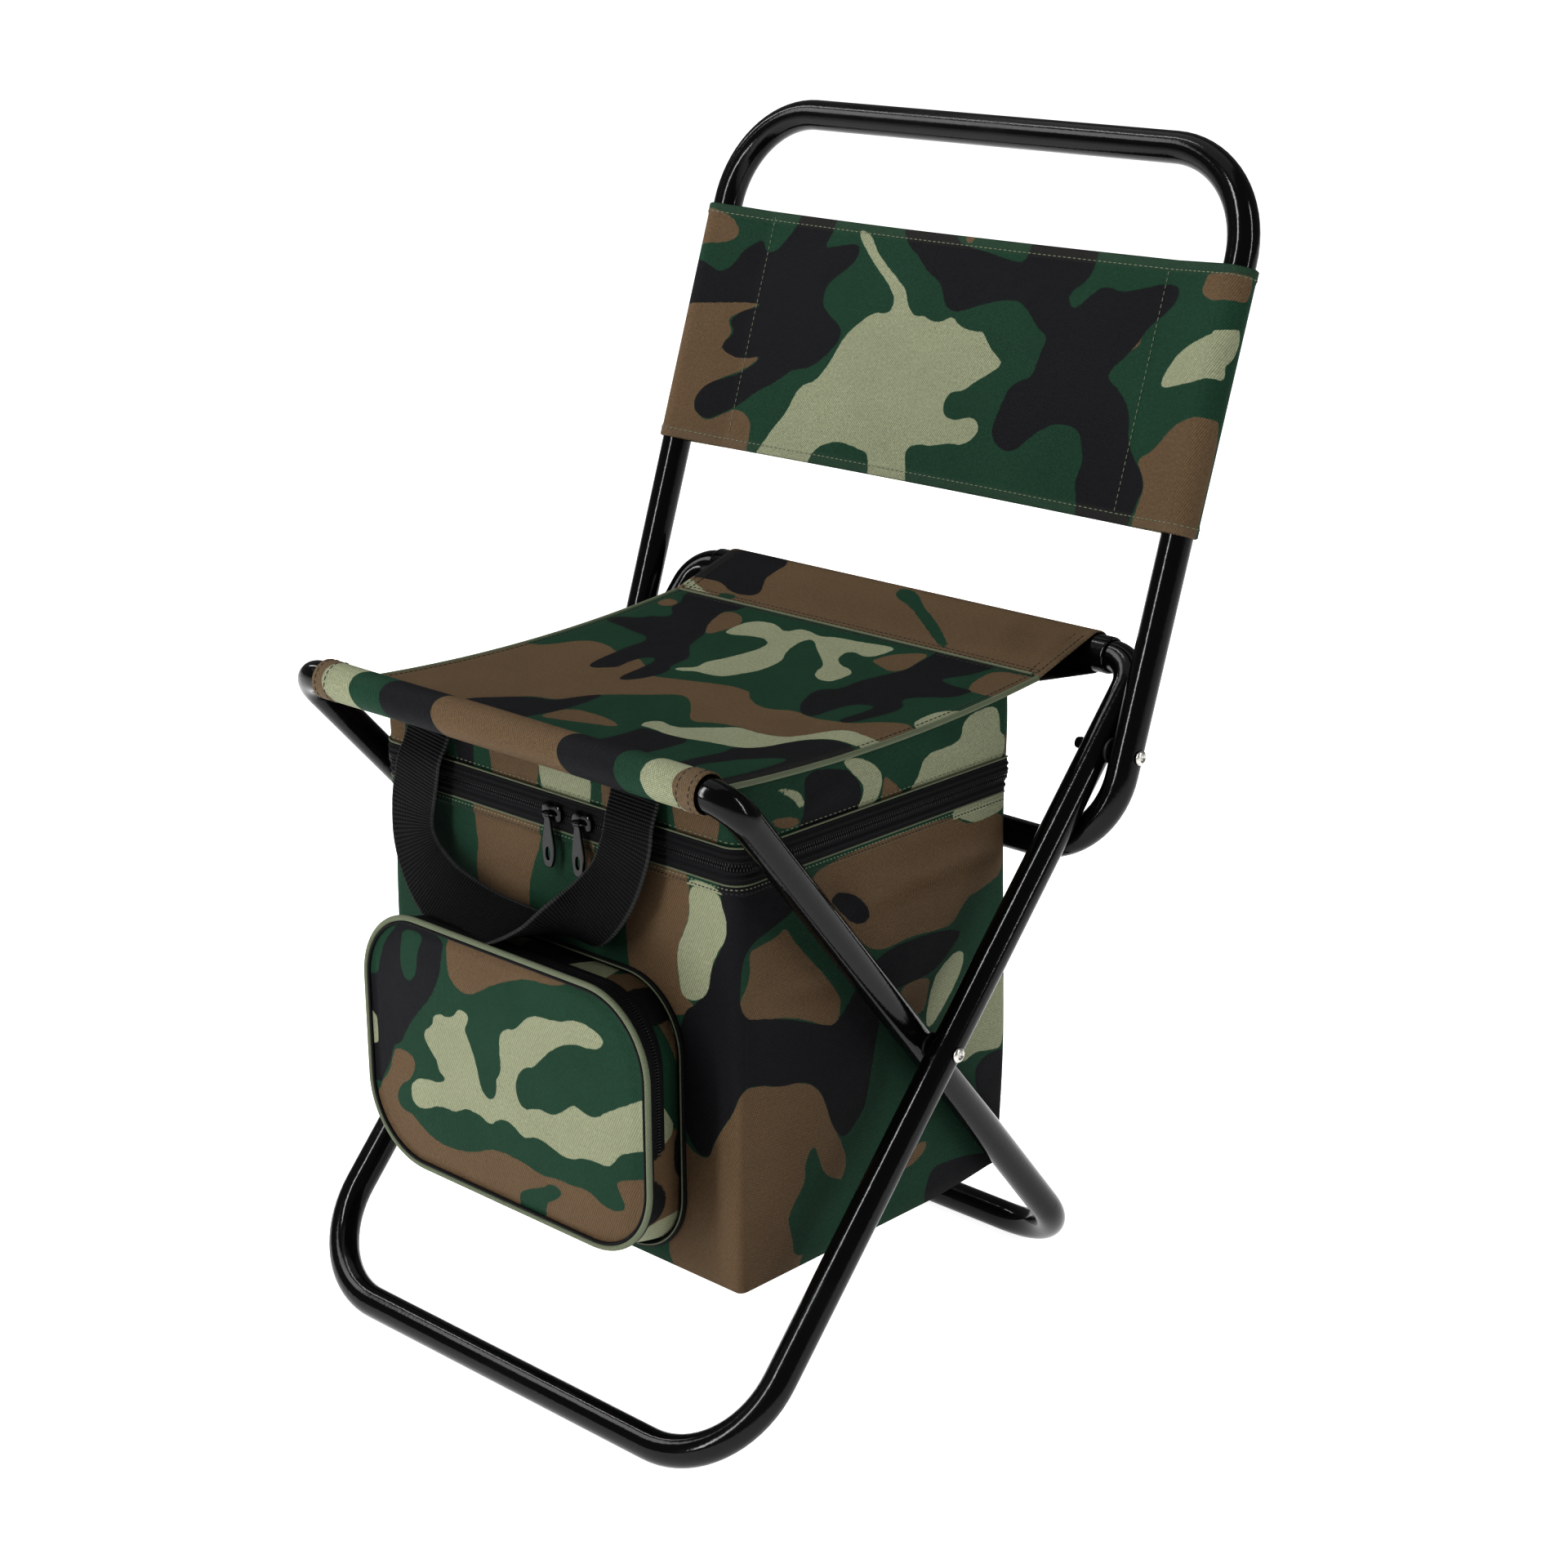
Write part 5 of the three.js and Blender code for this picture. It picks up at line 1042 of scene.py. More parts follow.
def build_rear_sleeve():
    """Cloth sleeve of the rear rail: two flat tongues from the seat's rear seam that run into a ring round
    the rail, a path of straight lines and an arc carried along X."""
    loop = tangent_loop(np.array([100.2, 334.2]), REAR_RAIL, 10.35, 0.75, 40)
    run = measured(loop)[:, None]
    x = np.linspace(-126.5, 126.5, 100)
    grid = points_of(x, loop[:, :1], loop[:, 1:])
    flat = smooth((run - 4) / 14) * smooth((run[-1] - run - 4) / 14) * (run < 44)
    grid[..., 2] += flat * ridges(x + 0 * run, run, TONGUE_FOLDS)
    u, v = np.broadcast_arrays(x, 100 + run)
    cloth = Solid()
    # The loop's lower layer comes out black from the tongue's blots: painted shade under the rear rail
    cloth.sheet(grid, 1.2, cloth=cloth_place(u, v), wear=smooth((np.abs(u) - 118) / 8) * 0.4,
                **printed("tongue", u, v))
    piece = cloth.place("rear_sleeve", "cloth", "front_frame", "rear_rail_sleeve")
    thread = Solid()
    lean = unit(loop[10] - loop[0])
    up = side_point(0, (-lean[1], lean[0]))
    across = np.linspace(-124, 124, 120)
    for far in (1.6, 4.0):
        at = loop[0] + lean * far
        sew(thread, points_of(across, *at) + up * 0.7, up)
    down_side = [np.interp(np.linspace(1.5, 40, 40), run[:, 0], loop[:, k]) for k in range(2)]
    for side in (-123.6, -118.6, 118.6, 123.6):
        sew(thread, points_of(side, *down_side) + up * 0.75, up)
    thread.place("rear_sleeve_stitches", "dark_thread", "front_frame")


# Backrest cover

def on_back(x, depth, rise):
    """A place of the backrest: across it, in front of its tubes' middle plane, and up along it."""
    front = np.array([-BACK_UP[1], BACK_UP[0]])
    x, depth, rise = np.broadcast_arrays(x, depth, rise)
    side = BACK_PIVOT + depth[..., None] * front + rise[..., None] * BACK_UP
    return np.concatenate([x[..., None], side], -1)


def build_backrest_cover():
    """Backrest cloth: one strip across the front, wrapped round each tube and sewn back to itself; a path
    of tangents and arcs carried up the backrest, hollowed a little between the tubes."""
    seam, radius, spread = 136.6, 8.95, 0.72
    front = tangent_loop(np.array([seam, 0.0]), np.array([BACK_HALF, 0.0]), radius, spread, 40)
    if front[0, 1] < front[-1, 1]:
        front = front[::-1]
    middle = np.stack([np.linspace(-seam, seam, 112)[1:-1], np.full(110, spread)], -1)
    left = front[::-1] * [-1, 1]
    path = np.vstack([left, middle, front])
    run = measured(path)
    wrapped = (np.abs(path[:, 0]) >= BACK_HALF) | (path[:, 1] < 0)
    u = np.where(wrapped, run - run[len(left) + 54], path[:, 0])
    rise = np.linspace(COVER_LOW, COVER_HIGH, 62)[:, None]
    hem = smooth(np.abs(rise - COVER_MIDDLE) - 59.6)
    span = np.cos(np.clip(path[:, 0] / seam, -1, 1) * np.pi / 2)
    inside = (np.abs(path[:, 0]) < seam) & (path[:, 1] > 0)
    waves = wave_field(31, path[:, 0] + 0 * rise, rise + 0 * u, 150) * 0.045
    depth = path[:, 1] + inside * span * (waves - 0.8)
    tall = COVER_MIDDLE + (rise - COVER_MIDDLE) * (1 - 0.010 * span * inside)
    grid = on_back(path[:, 0], depth, tall)
    U, V = np.broadcast_arrays(u, rise)
    blots = mixed(printed("back", U, V), strewn(7, U, V), smooth((np.abs(U) - 186) / 10))
    cloth = Solid()
    cloth.sheet(grid, np.broadcast_to(1.1 + 0.7 * hem, U.shape), cloth=cloth_place(U, V),
                wear=np.broadcast_to(0.35 * hem, U.shape), **blots)
    piece = cloth.place("backrest_cloth", "cloth", "backrest", "backrest_cover")
    rows, seams = Solid(), Solid()
    facing = side_point(0, (-BACK_UP[1], BACK_UP[0]))
    before = (path[:, 1] > 0) | (np.abs(path[:, 0]) > BACK_HALF)
    for height in (COVER_LOW + 4, COVER_HIGH - 4):
        line = grid[int(np.argmin(np.abs(rise - height)))][before]
        out = unit(np.cross(np.gradient(line, axis=0), side_point(0, BACK_UP)))
        out *= np.sign((out @ facing).sum())
        sew(rows, line + out, out)
    up = np.linspace(COVER_LOW + 1.5, COVER_HIGH - 1.5, 60)
    flat = slice(len(left) + 55, len(left) + 110)
    for side in (-1, 1):
        for at, into in ((131.2, rows), (136.8, seams)):
            lift = np.interp(at, path[flat, 0], depth[30, flat]) + 0.75
            sew(into, on_back(side * (at + 1.5), lift, up), facing)
    rows.place("backrest_stitches", "green_thread", "backrest")
    seams.place("backrest_seam_stitches", "green_thread", "backrest")


# Bag

def bag_outline(radius, half=BAG_HALF, front=BAG_FRONT, back=BAG_BACK, step=2.5):
    """A rounded rectangle in plan for each of many corner radii: straight sides and quarter circles, with
    outward normals and the distance from the front's middle as on a box unfolded round its front."""
    radius = np.atleast_1d(np.asarray(radius, float))[:, None]
    flat = lambda length: np.linspace(0, 1, max(int(length / step), 3), endpoint=False)
    arc = np.linspace(0, 1, 9, endpoint=False)
    runs = []

    def side(a, b, normal, w0, w1, samples):
        """One straight side from a to b."""
        a, b = [np.broadcast_to(p, (len(radius), 2)) for p in (a, b)]
        points = a[:, None] + (b - a)[:, None] * samples[:, None]
        unfolded = w0 + (w1 - w0) * samples
        runs.append((points, np.broadcast_to(normal, points.shape), unfolded))

    def corner(cx, cy, start, w0, w1):
        """One quarter circle round its centre."""
        angle = start + arc * np.pi / 2
        normal = np.stack([np.cos(angle), np.sin(angle)], -1)
        points = np.concatenate([cx, cy], 1)[:, None] + radius[..., None] * normal
        runs.append((points, np.broadcast_to(normal, points.shape), w0 + (w1 - w0) * arc))

    r, deep = radius, back - front
    one = np.ones_like(r)
    join = lambda x, y: np.concatenate([x * one, y * one], 1)
    w = half + deep
    side(join(0, back), join(-half + r, back), (0, 1), -w - half, -w - r, flat(half))
    corner(-half + r, back - r, np.pi / 2, -w - r, -w + r)
    side(join(-half, back - r), join(-half, front + r), (-1, 0), -w + r, -half - r, flat(deep))
    corner(-half + r, front + r, np.pi, -half - r, -half + r)
    side(join(-half + r, front), join(half - r, front), (0, -1), -half + r, half - r, flat(2 * half))
    corner(half - r, front + r, 1.5 * np.pi, half - r, half + r)
    side(join(half, front + r), join(half, back - r), (1, 0), half + r, w - r, flat(deep))
    corner(half - r, back - r, 0, w - r, w + r)
    side(join(half - r, back), join(0, back), (0, 1), w + r, w + half, flat(half))
    points = np.concatenate([p for p, _, _ in runs], 1)
    normals = np.concatenate([n for _, n, _ in runs], 1)
    unfolded = np.concatenate([np.broadcast_to(u, p.shape[:2]) for p, _, u in runs], 1)
    return points, normals, unfolded


BAG_FOLDS = ((174, 280, 210, 246, 4, -3.0), (196, 247, 316, 251, 5, -2.6), (206, 262, 262, 249, 4, -1.6),
             (200, 262, 300, 262, 6, 1.2), (145, 222, 195, 212, 5, -1.2), (131, 250, 133, 110, 3.5, -1.2),
             (250, 262, 300, 250, 6, -1.0), (132, 240, 150, 205, 7, 0.8), (-60, 268, -20, 225, 9, -0.7),
             (40, 270, 90, 235, 8, 0.8), (140, 120, 210, 92, 10, 0.7), (-110, 265, -80, 240, 6, 0.8),
             (-260, 262, -160, 268, 6, 1.0), (-240, 240, -180, 262, 5, -0.9), (104, 150, 112, 84, 8, 0.6))


def bag_wall(points, normals, unfolded, z, inset=0.0, creased=True):
    """Bag wall at height z: each side bellies out and the whole is drawn in by the legs that pass its rear
    lower corners, with soft folds under the zip."""
    high = (z - FLOOR) / (MOUTH - FLOOR)
    belly = np.sin(np.pi * np.clip(high, 0, 1)) ** 0.8
    flat_x = np.cos(np.clip(points[..., 0] / BAG_HALF, -1, 1) * np.pi / 2)
    flat_y = np.sin(np.clip((points[..., 1] - BAG_FRONT) / (BAG_BACK - BAG_FRONT), 0, 1) * np.pi)
    sideways = np.abs(normals[..., 0])
    fullness = np.where(normals[..., 1] < 0, 1.4, 0.2)
    out = belly * (0.4 * sideways * flat_y + fullness * (1 - sideways) * flat_x) - 0.8 * sideways
    if creased:
        out = out + ridges(unfolded, z, BAG_FOLDS) * smooth(high * 6) * smooth((1 - high) * 12)
    out = out + wave_field(12, unfolded, z + 0 * unfolded, 120) * 0.03 * belly
    moved = points + normals * (out - inset)[..., None]
    x, y = moved[..., 0], moved[..., 1]
    slope = FRONT_RAIL - REAR_FOOT
    off = np.abs((y - REAR_FOOT[0]) * slope[1] - (z - REAR_FOOT[1]) * slope[0]) / np.hypot(*slope)
    limit = rear_leg_half(z) - TUBE - 1.4 - inset + 0.16 * np.clip(off - 7, 0, None)
    rear_low = smooth((y - 20) / 70) * smooth((150 - z) / 75)
    limit = np.minimum(limit, BAG_HALF - 0.1 - 4.5 * rear_low - inset)
    soft, reach = 1.6, np.abs(x)
    held = -soft * np.log(np.exp(-np.clip(reach / soft, None, 200)) + np.exp(-limit / soft))
    return points_of(np.sign(x) * np.where(reach > limit - 9, held, reach), y, z)


def corner_radius(z):
    """The bag's corners are soft under the zip and sharpen to a crease lower down."""
    return 4.5 + 5.0 * smooth((z - 150) / 110)


def drawn_in(plan, middle, share):
    """A plan drawn in towards its middle, each row by its own share."""
    return middle + (plan - middle) * share[:, None, None]


def bag_prints(unfolded, z):
    """The bag's drawn blots on its front and right side, and strewn ones on its left side and back."""
    u, v = np.broadcast_arrays(unfolded, z)
    far = np.maximum(smooth((-u - 126) / 40), smooth((u - 320) / 20))
    return mixed(printed("bag", u, v), strewn(21, u, v), far)


def build_bag():
    """The bag's outer cloth: a rounded rectangle lofted from the middle of the floor up to the mouth, and
    back down inside to the middle of the floor."""
    foot, wall, lining = 12, 80, 69
    z = np.concatenate([np.full(foot, FLOOR + 0.2), np.linspace(FLOOR + 0.4, MOUTH - 0.3, wall)])
    share = np.concatenate([np.linspace(0.06, 0.985, foot), np.ones(wall)])
    points, normals, unfolded = bag_outline(corner_radius(z))
    outer = bag_wall(points, normals, unfolded, z[:, None])
    outer[..., :2] = drawn_in(outer[..., :2], BAG_MIDDLE, share)
    outer[..., 2] -= np.where(share > 0.99, 0, 0.9 * (1 - share))[:, None]
    back_down = np.linspace(MOUTH - 0.4, FLOOR + 1.8, lining)
    back_down = np.concatenate([[MOUTH], back_down, np.full(3, FLOOR + 1.7)])
    points, normals, inner_unfolded = bag_outline(np.maximum(corner_radius(back_down) - 1.5, 2))
    inner = bag_wall(points, normals, inner_unfolded, back_down[:, None], 1.3)
    inner[0] = bag_wall(points[:1], normals[:1], inner_unfolded[:1], back_down[:1, None], 0.6)[0]
    share = np.concatenate([np.ones(lining + 1), [0.7, 0.35, 0.06]])
    inner[..., :2] = drawn_in(inner[..., :2], BAG_MIDDLE, share)
    bare = np.full(inner.shape[:2], -BLOT_MARGIN)
    blots = {n: np.concatenate([v, bare]) for n, v in bag_prints(unfolded, z[:, None]).items()}
    heights = np.concatenate([z, back_down])[:, None]
    wear = np.broadcast_to(smooth((84 - heights) / 8) * 0.35, (len(heights), unfolded.shape[1]))
    place = cloth_place(np.concatenate([unfolded, inner_unfolded]), heights)
    shell = Solid()
    shell.loft(np.concatenate([outer, inner]), cloth=place, wear=wear, **blots)
    bag = shell.place("bag_cloth", "cloth", "bag", "bag_body", squash=True)


def bag_layer(low, inset, wall, rows):
    """One inner layer of the bag: outside wall up from its floor, then back down inside."""
    under, top = low + wall, MOUTH - 0.2
    grids, places = [], []
    for z, in_by, share in (
        (np.concatenate([[low] * 3, np.linspace(low + 0.5, top, rows)]), inset,
         np.concatenate([[0.06, 0.5, 0.98], np.ones(rows)])),
        (np.concatenate([[top], np.linspace(MOUTH - 1.0, under, rows), [under] * 3]), inset + wall,
         np.concatenate([np.ones(rows + 1), [0.97, 0.5, 0.06]])),
    ):
        points, normals, unfolded = bag_outline(np.full(len(z), 6.0), step=5)
        grid = bag_wall(points, normals, unfolded, z[:, None], in_by, False)
        grid[..., :2] = drawn_in(grid[..., :2], BAG_MIDDLE, share)
        grids.append(grid)
        places.append(cloth_place(unfolded, z[:, None]))
    solid = Solid()
    solid.loft(np.concatenate(grids), cloth=np.concatenate(places))
    return solid


def build_bag_layers():
    """What is inside the bag's cloth: foam walls and floor, the foil lining inside them, and the board
    under them, an outline whose cosine and sine are raised to a low power so that its corners fill."""
    foam = bag_layer(FLOOR + 5.1, 4.8, 4.2, 26)
    piece = foam.place("bag_foam", "foam", "bag", "bag_insulation", squash=True)
    foil = bag_layer(FLOOR + 9.6, 9.3, 0.8, 34)
    piece = foil.place("bag_foil", "foil", "bag", "bag_liner", squash=True)
    low, high = (np.array(corner) / MM - [0, SHIFT, 0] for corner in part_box("base_board"))
    half = (high - low) / 2
    plan = circle_of(96)
    plan = np.sign(plan) * np.abs(plan) ** 0.12 * half[:2]
    share = np.array([0.03, 0.5, 0.99, 1.0, 1.0, 0.99, 0.5, 0.03])[:, None]
    rise = np.array([-1, -1, -1, -0.7, 0.7, 1, 1, 1])[:, None] * half[2]
    board = Solid()
    board.loft(points_of(plan[:, 0] * share, plan[:, 1] * share, rise) + (low + high) / 2)
    board.place("base_board_panel", "board", "bag", "base_board", squash=True)


def zip_run(z, outset, upper):
    """The three-sided run of the zip at one height, moved outwards: the bag's outline without its rear. Its
    lower half follows the bag's wall and its upper half the lid's plan."""
    points, normals, unfolded = bag_outline(corner_radius(z))
    keep = np.abs(unfolded[0]) < BAG_HALF + (BAG_BACK - BAG_FRONT) - 4.0
    if upper:
        line = points_of(*(points[0] + normals[0] * outset).T, z)
    else:
        line = bag_wall(points, normals, unfolded, z, -outset)[0]
    out = points_of(*normals[0].T, 0.0)
    return line[keep], out[keep], unfolded[0][keep]


def band(solid, heights, outsets, upper, thickness, prints=None):
    """A strip along the zip's run: one line of points for each height, with its own distance outwards. A
    printed one has the weave of the bag's cloth, a plain one that of a tape."""
    lines = [zip_run(z, outset, upper) for z, outset in zip(heights, outsets)]
    u, v = np.broadcast_arrays(lines[0][2], np.array(heights)[:, None])
    values = {"cloth": cloth_place(u, v), **prints(u, v)} if prints else {"cloth": cloth_place(v, u)}
    solid.sheet(np.stack([line for line, _, _ in lines]), thickness, **values)


def ribbed(heights, base, ribs):
    """Distances outwards of a tape: a base, and a bell curve of the height at each of its woven ribs."""
    return [base + sum(0.8 * math.exp(-((z - rib) / 0.75) ** 2) for rib in ribs) for z in heights]


def build_zip():
    """The bag's zip: two tapes with woven ribs along three sides, and a coil of small round teeth between
    them, half of it on each tape and half a tooth apart."""
    coil_line, out, _ = zip_run(ZIP_LINE, 1.25, True)
    for half, body, low, high, ribs, side, rests_on in (
        ("upper", "front_frame", ZIP_LINE + 0.5, LID_SEAM - 0.2, (292.6, 295.6), 1, "lid_cloth"),
        ("lower", "bag", MOUTH + 0.2, ZIP_LINE - 0.5, (287.4, 284.3), -1, "bag_cloth"),
    ):
        heights = np.linspace(low, high, 18)
        tape = Solid()
        band(tape, heights, ribbed(heights, 0.75, ribs), half == "upper", 0.8)
        piece = tape.place(f"zip_{half}_band", "tape", body, f"zip_{half}_tape", squash=True)
        places, along, up = spaced(coil_line, 1.5, out)
        places = places + [0, 0, side * 0.95] + unit(along) * (side * 0.37)
        coil = Solid()
        coil.strew(BEAD, places, np.broadcast_to([0.0, 0.0, 1.0], places.shape), up, (2.5, 0.85, 1.0))
        coil.place(f"zip_coil_{half}", "coil", body, squash=True)


def build_zip_trims():
    """Piping above and under the zip, the stitched binding under it, and the stitches of all three."""
    for name, z, outset, radius, body in (
        ("lid_seam_cord", LID_SEAM + 0.9, 0.95, 0.55, "front_frame"),
        ("bag_seam_cord", MOUTH - 0.2, 1.05, 0.5, "bag"),
    ):
        cord = Solid()
        cord.tube(zip_run(z, outset, body != "bag")[0], radius, (0, 0, 1), 10)
        cord.place(name, "trim", body, squash=True)
    paler = lambda u, v: {n: depth + 3 * (n == "khaki") for n, depth in bag_prints(u, v).items()}
    strip = Solid()
    band(strip, np.linspace(275.6, 280.5, 6), [0.35, 0.65, 0.7, 0.7, 0.7, 0.7], False, 0.7, paler)
    piece = strip.place("bag_mouth_binding", "cloth", "bag", squash=True)
    for name, finish, body, slot, z, outset, pitch, size in (
        ("bag_binding_stitches", "green_thread", "bag", "green_trim", 278.9, 1.15, 2.4, (1.5, 0.7, 0.4)),
        ("bag_seam_stitches", "dark_thread", "bag", None, 276.9, 1.1, 2.4, (1.7, 0.6, 0.4)),
        ("lid_seam_stitches", "green_thread", "front_frame", None, 300.9, 0.15, 3.2, (2.2, 0.6, 0.45)),
    ):
        line, out, _ = zip_run(z, outset, body != "bag")
        thread = Solid()
        sew(thread, line, out, pitch, size)
        thread.place(name, finish, body, slot=slot, squash=True)


LID_FOLDS = ((150, 300, 200, 318, 6, 0.8), (-60, 300, -20, 316, 7, -0.6), (230, 318, 290, 302, 6, -0.8))


def build_lid():
    """Lid: a cloth band from the zip up to the seat cloth's underside, and its rear hinge flap."""
    points, normals, unfolded = bag_outline(np.full(14, 9.5))
    share = np.linspace(0, 1, 14)[:, None]
    under = seat_level(points[..., 0], points[..., 1]) - 2.0
    z = LID_SEAM + 0.3 + share * (under - LID_SEAM - 0.3)
    belly = (0.3 + ridges(unfolded, z, LID_FOLDS)) * np.sin(np.pi * share)
    plan = points + normals * (belly - 0.7)[..., None]
    far = np.maximum(smooth((-unfolded - 126) / 30), smooth((unfolded - 318) / 12))
    cloth = Solid()
    cloth.sheet(points_of(plan[..., 0], plan[..., 1], z), 1.3, ring=True, cloth=cloth_place(unfolded, z),
                wear=np.zeros(z.shape), **mixed(printed("lid", unfolded, z), strewn(41, unfolded, z), far))
    x, v = np.meshgrid(np.linspace(-112, 112, 80), np.linspace(MOUTH + 0.5, LID_SEAM + 2, 8))
    cloth.sheet(points_of(x, BAG_BACK + 0.3, v), 1.2, cloth=cloth_place(x, v), wear=np.zeros(x.shape),
                **strewn(45, x, v))
    piece = cloth.place("lid_cloth", "cloth", "front_frame", "bag_lid_band", squash=True)


def build_lid_foam():
    """The lid's foam: the bag's plan, a little smaller, under the seat cloth, its flat sides drawn in row by
    row to its middle."""
    less = 2.2
    outline = bag_outline(8.0, BAG_HALF - less, BAG_FRONT + less, BAG_BACK - less, 6)[0]
    share = np.concatenate([np.linspace(0.04, 0.99, 14), [1.0, 1.0], np.linspace(0.99, 0.04, 14)])
    plan = drawn_in(outline, BAG_MIDDLE, share)
    top = seat_level(plan[..., 0], plan[..., 1]) - 2.3
    drop = np.concatenate([np.zeros(14), [0.8, 6.6], np.full(14, 7.4)])[:, None]
    foam = Solid()
    foam.loft(points_of(plan[..., 0], plan[..., 1], top - drop))
    piece = foam.place("lid_foam", "foam", None, "lid_insulation")
    bend_with_fold(piece)


# Zip sliders

def slider_form(solid, middle, along, out, bar):
    """A slider: a waisted plate, its outline scaled in towards its crown, and a bail bent over it."""
    along, out, bar = (unit(np.array(v, float)) for v in (along, out, bar))
    across = np.cross(out, along)
    turn = circle_of(40)
    x, y = (np.sign(turn) * np.abs(turn) ** 0.55 * [6.5, 4.5]).T
    y = y * (0.74 + 0.26 * smooth(np.abs(x) / 3.6))
    rise, scale = np.array([0, 0.25, 1.9, 2.35, 2.6]), np.array([0.93, 1.0, 1.0, 0.93, 0.75])
    plate = x[:, None] * along + y[:, None] * across
    solid.loft(middle + scale[:, None, None] * plate + rise[:, None, None] * out)
    bail = [middle + bar * side * 4 + out * high for side, high in ((-1, 1.4), (-1, 4.6), (1, 4.6), (1, 1.4))]
    solid.tube(bent(bail, (1.8, 1.8)), 0.62, np.cross(out, bar), 12)


def pull_form(solid, hinge, down, out, bar):
    """A pull: a tapered plate with a round end and a long window, rings from the window's edge over one
    face, round the outside and back over the other, and a barrel round the bail."""
    down, out, bar = (unit(np.array(v, float)) for v in (down, out, bar))
    cosine, sine = circle_of(48).T
    middle = 13.4
    run = middle - 13.2 * cosine
    half = 4.2 * np.abs(sine) ** 0.5 * (0.62 + 0.38 * smooth((run - 4) / 14))
    edge = np.stack([np.sign(sine) * half, run], -1)
    eased = edge * [0.9, 1] + (edge - [0, middle]) * [0, -0.03]
    window = np.stack([1.45 * sine, 19.6 - 3.4 * np.sign(cosine) * np.abs(cosine) ** 0.8], -1)
    rim = window * [1.12, 1]
    rings = ((window, 0.55), (rim, 0.8), (eased, 0.8), (edge, 0.5), (edge, -0.5), (eased, -0.8), (rim, -0.8),
             (window, -0.55))
    solid.loft(np.stack([hinge + ring[:, :1] * bar + ring[:, 1:] * down + high * out for ring, high in rings]),
               ring_rows=True)
    barrel = np.array([hinge + bar * k for k in (-2.0, -1.7, 1.7, 2.0)])
    solid.tube(barrel, (1.25, 1.6, 1.6, 1.25), down, 18)


def build_sliders():
    """Two sliders on the bag's zip and one on the pocket's, each with its pull."""
    to_front, across = (0, -1, 0), (1, 0, 0)
    out, bar = np.array([-0.923, 0.385, 0.0]), np.array([0.385, 0.923, 0.0])
    hinge = np.array([-100.854, -162.043 - SHIFT, 155.907])
    bag_zip = [(f"slider_form_{hand}", f"slider_{hand}", f"zip_slider_{hand}",
                f"pull_form_{hand}", f"pull_{hand}", f"zip_pull_{hand}",
                np.array([x, BAG_FRONT - 1.9, ZIP_LINE]), np.array([x, BAG_FRONT - 6.0, ZIP_LINE]),
                across, to_front, across)
               for hand, x in (("left", 3.9), ("right", 24.5))]
    pocket_zip = [("pocket_slider_form", "pocket_slider", "pocket_zip_slider",
                   "pocket_pull_form", "pocket_pull", "pocket_zip_pull",
                   hinge - out * 4.5, hinge, (0, 0, 1), out, bar)]
    for (slider_name, slider_body, slider_node, pull_name, pull_body, pull_node,
         middle, pin, along, facing, barrel) in bag_zip + pocket_zip:
        slider, pull = Solid(), Solid()
        slider_form(slider, middle, along, facing, barrel)
        pull_form(pull, pin, (0, 0, -1), facing, barrel)
        slider.place(slider_name, "hardware", slider_body, slider_node, squash=True, crease=35)
        pull.place(pull_name, "hardware", pull_body, pull_node, squash=True, crease=35)


# Pocket

def pocket_ring(share, margin=0.0, count=POCKET_STEPS):
    """The pocket's outline in X and Z, a share of the way from the bag to its face: a rounded rectangle
    sampled at equal steps from the middle of its bottom."""
    half = POCKET_HALF + POCKET_WIDER * share + margin
    low, high = POCKET_LOW + POCKET_LIFT_LOW * share - margin, POCKET_HIGH + POCKET_LIFT_HIGH * share + margin
    radius = POCKET_CORNER + POCKET_ROUNDER * share + margin
    angle = np.linspace(0, np.pi / 2, 24)
    path = [[[0, low]]]
    for x, z, start in ((half - radius, low + radius, -np.pi / 2), (half - radius, high - radius, 0),
                        (radius - half, high - radius, np.pi / 2), (radius - half, low + radius, np.pi)):
        path.append(np.stack([x + radius * np.cos(start + angle), z + radius * np.sin(start + angle)], -1))
    path = np.vstack(path + path[:1])
    run = measured(path)
    at = np.linspace(0, run[-1], count, endpoint=False)
    return np.stack([np.interp(at, run, path[:, k]) for k in (0, 1)], -1)


def pocket_loop(share, margin=0.0):
    """The pocket's outline as points, at its share of the depth."""
    x, z = pocket_ring(share, margin).T
    return points_of(x, POCKET_BACK - POCKET_DEPTH * share, z)


def pocket_out():
    """Outward direction round the pocket: its outline's direction turned a quarter."""
    ring = pocket_ring(0.75)
    along = unit(np.roll(ring, -1, 0) - np.roll(ring, 1, 0))
    return points_of(along[:, 1], 0.0, -along[:, 0])


def build_pocket():
    """The pocket's side wall: its outline, widening from the bag to the face, with a little slack."""
    shares = np.linspace(0.004, 0.955, 22)
    step = np.arange(POCKET_STEPS)
    slack = np.sin(np.pi * shares)[:, None] * (0.35 * np.sin(step / POCKET_STEPS * 2 * np.pi * 9 + 1))
    grid = np.stack([pocket_loop(share, -0.75) for share in shares]) + pocket_out() * slack[..., None]
    around, deep = np.broadcast_arrays(step * POCKET_STEP, shares[:, None] * 39)
    wall = Solid()
    wall.sheet(grid, 1.4, ring=True, cloth=cloth_place(around, deep), wear=np.zeros(around.shape),
               **strewn(63, around * 1.5, deep * 1.2))
    piece = wall.place("pocket_wall_cloth", "cloth", "bag", "pocket_gusset", squash=True)


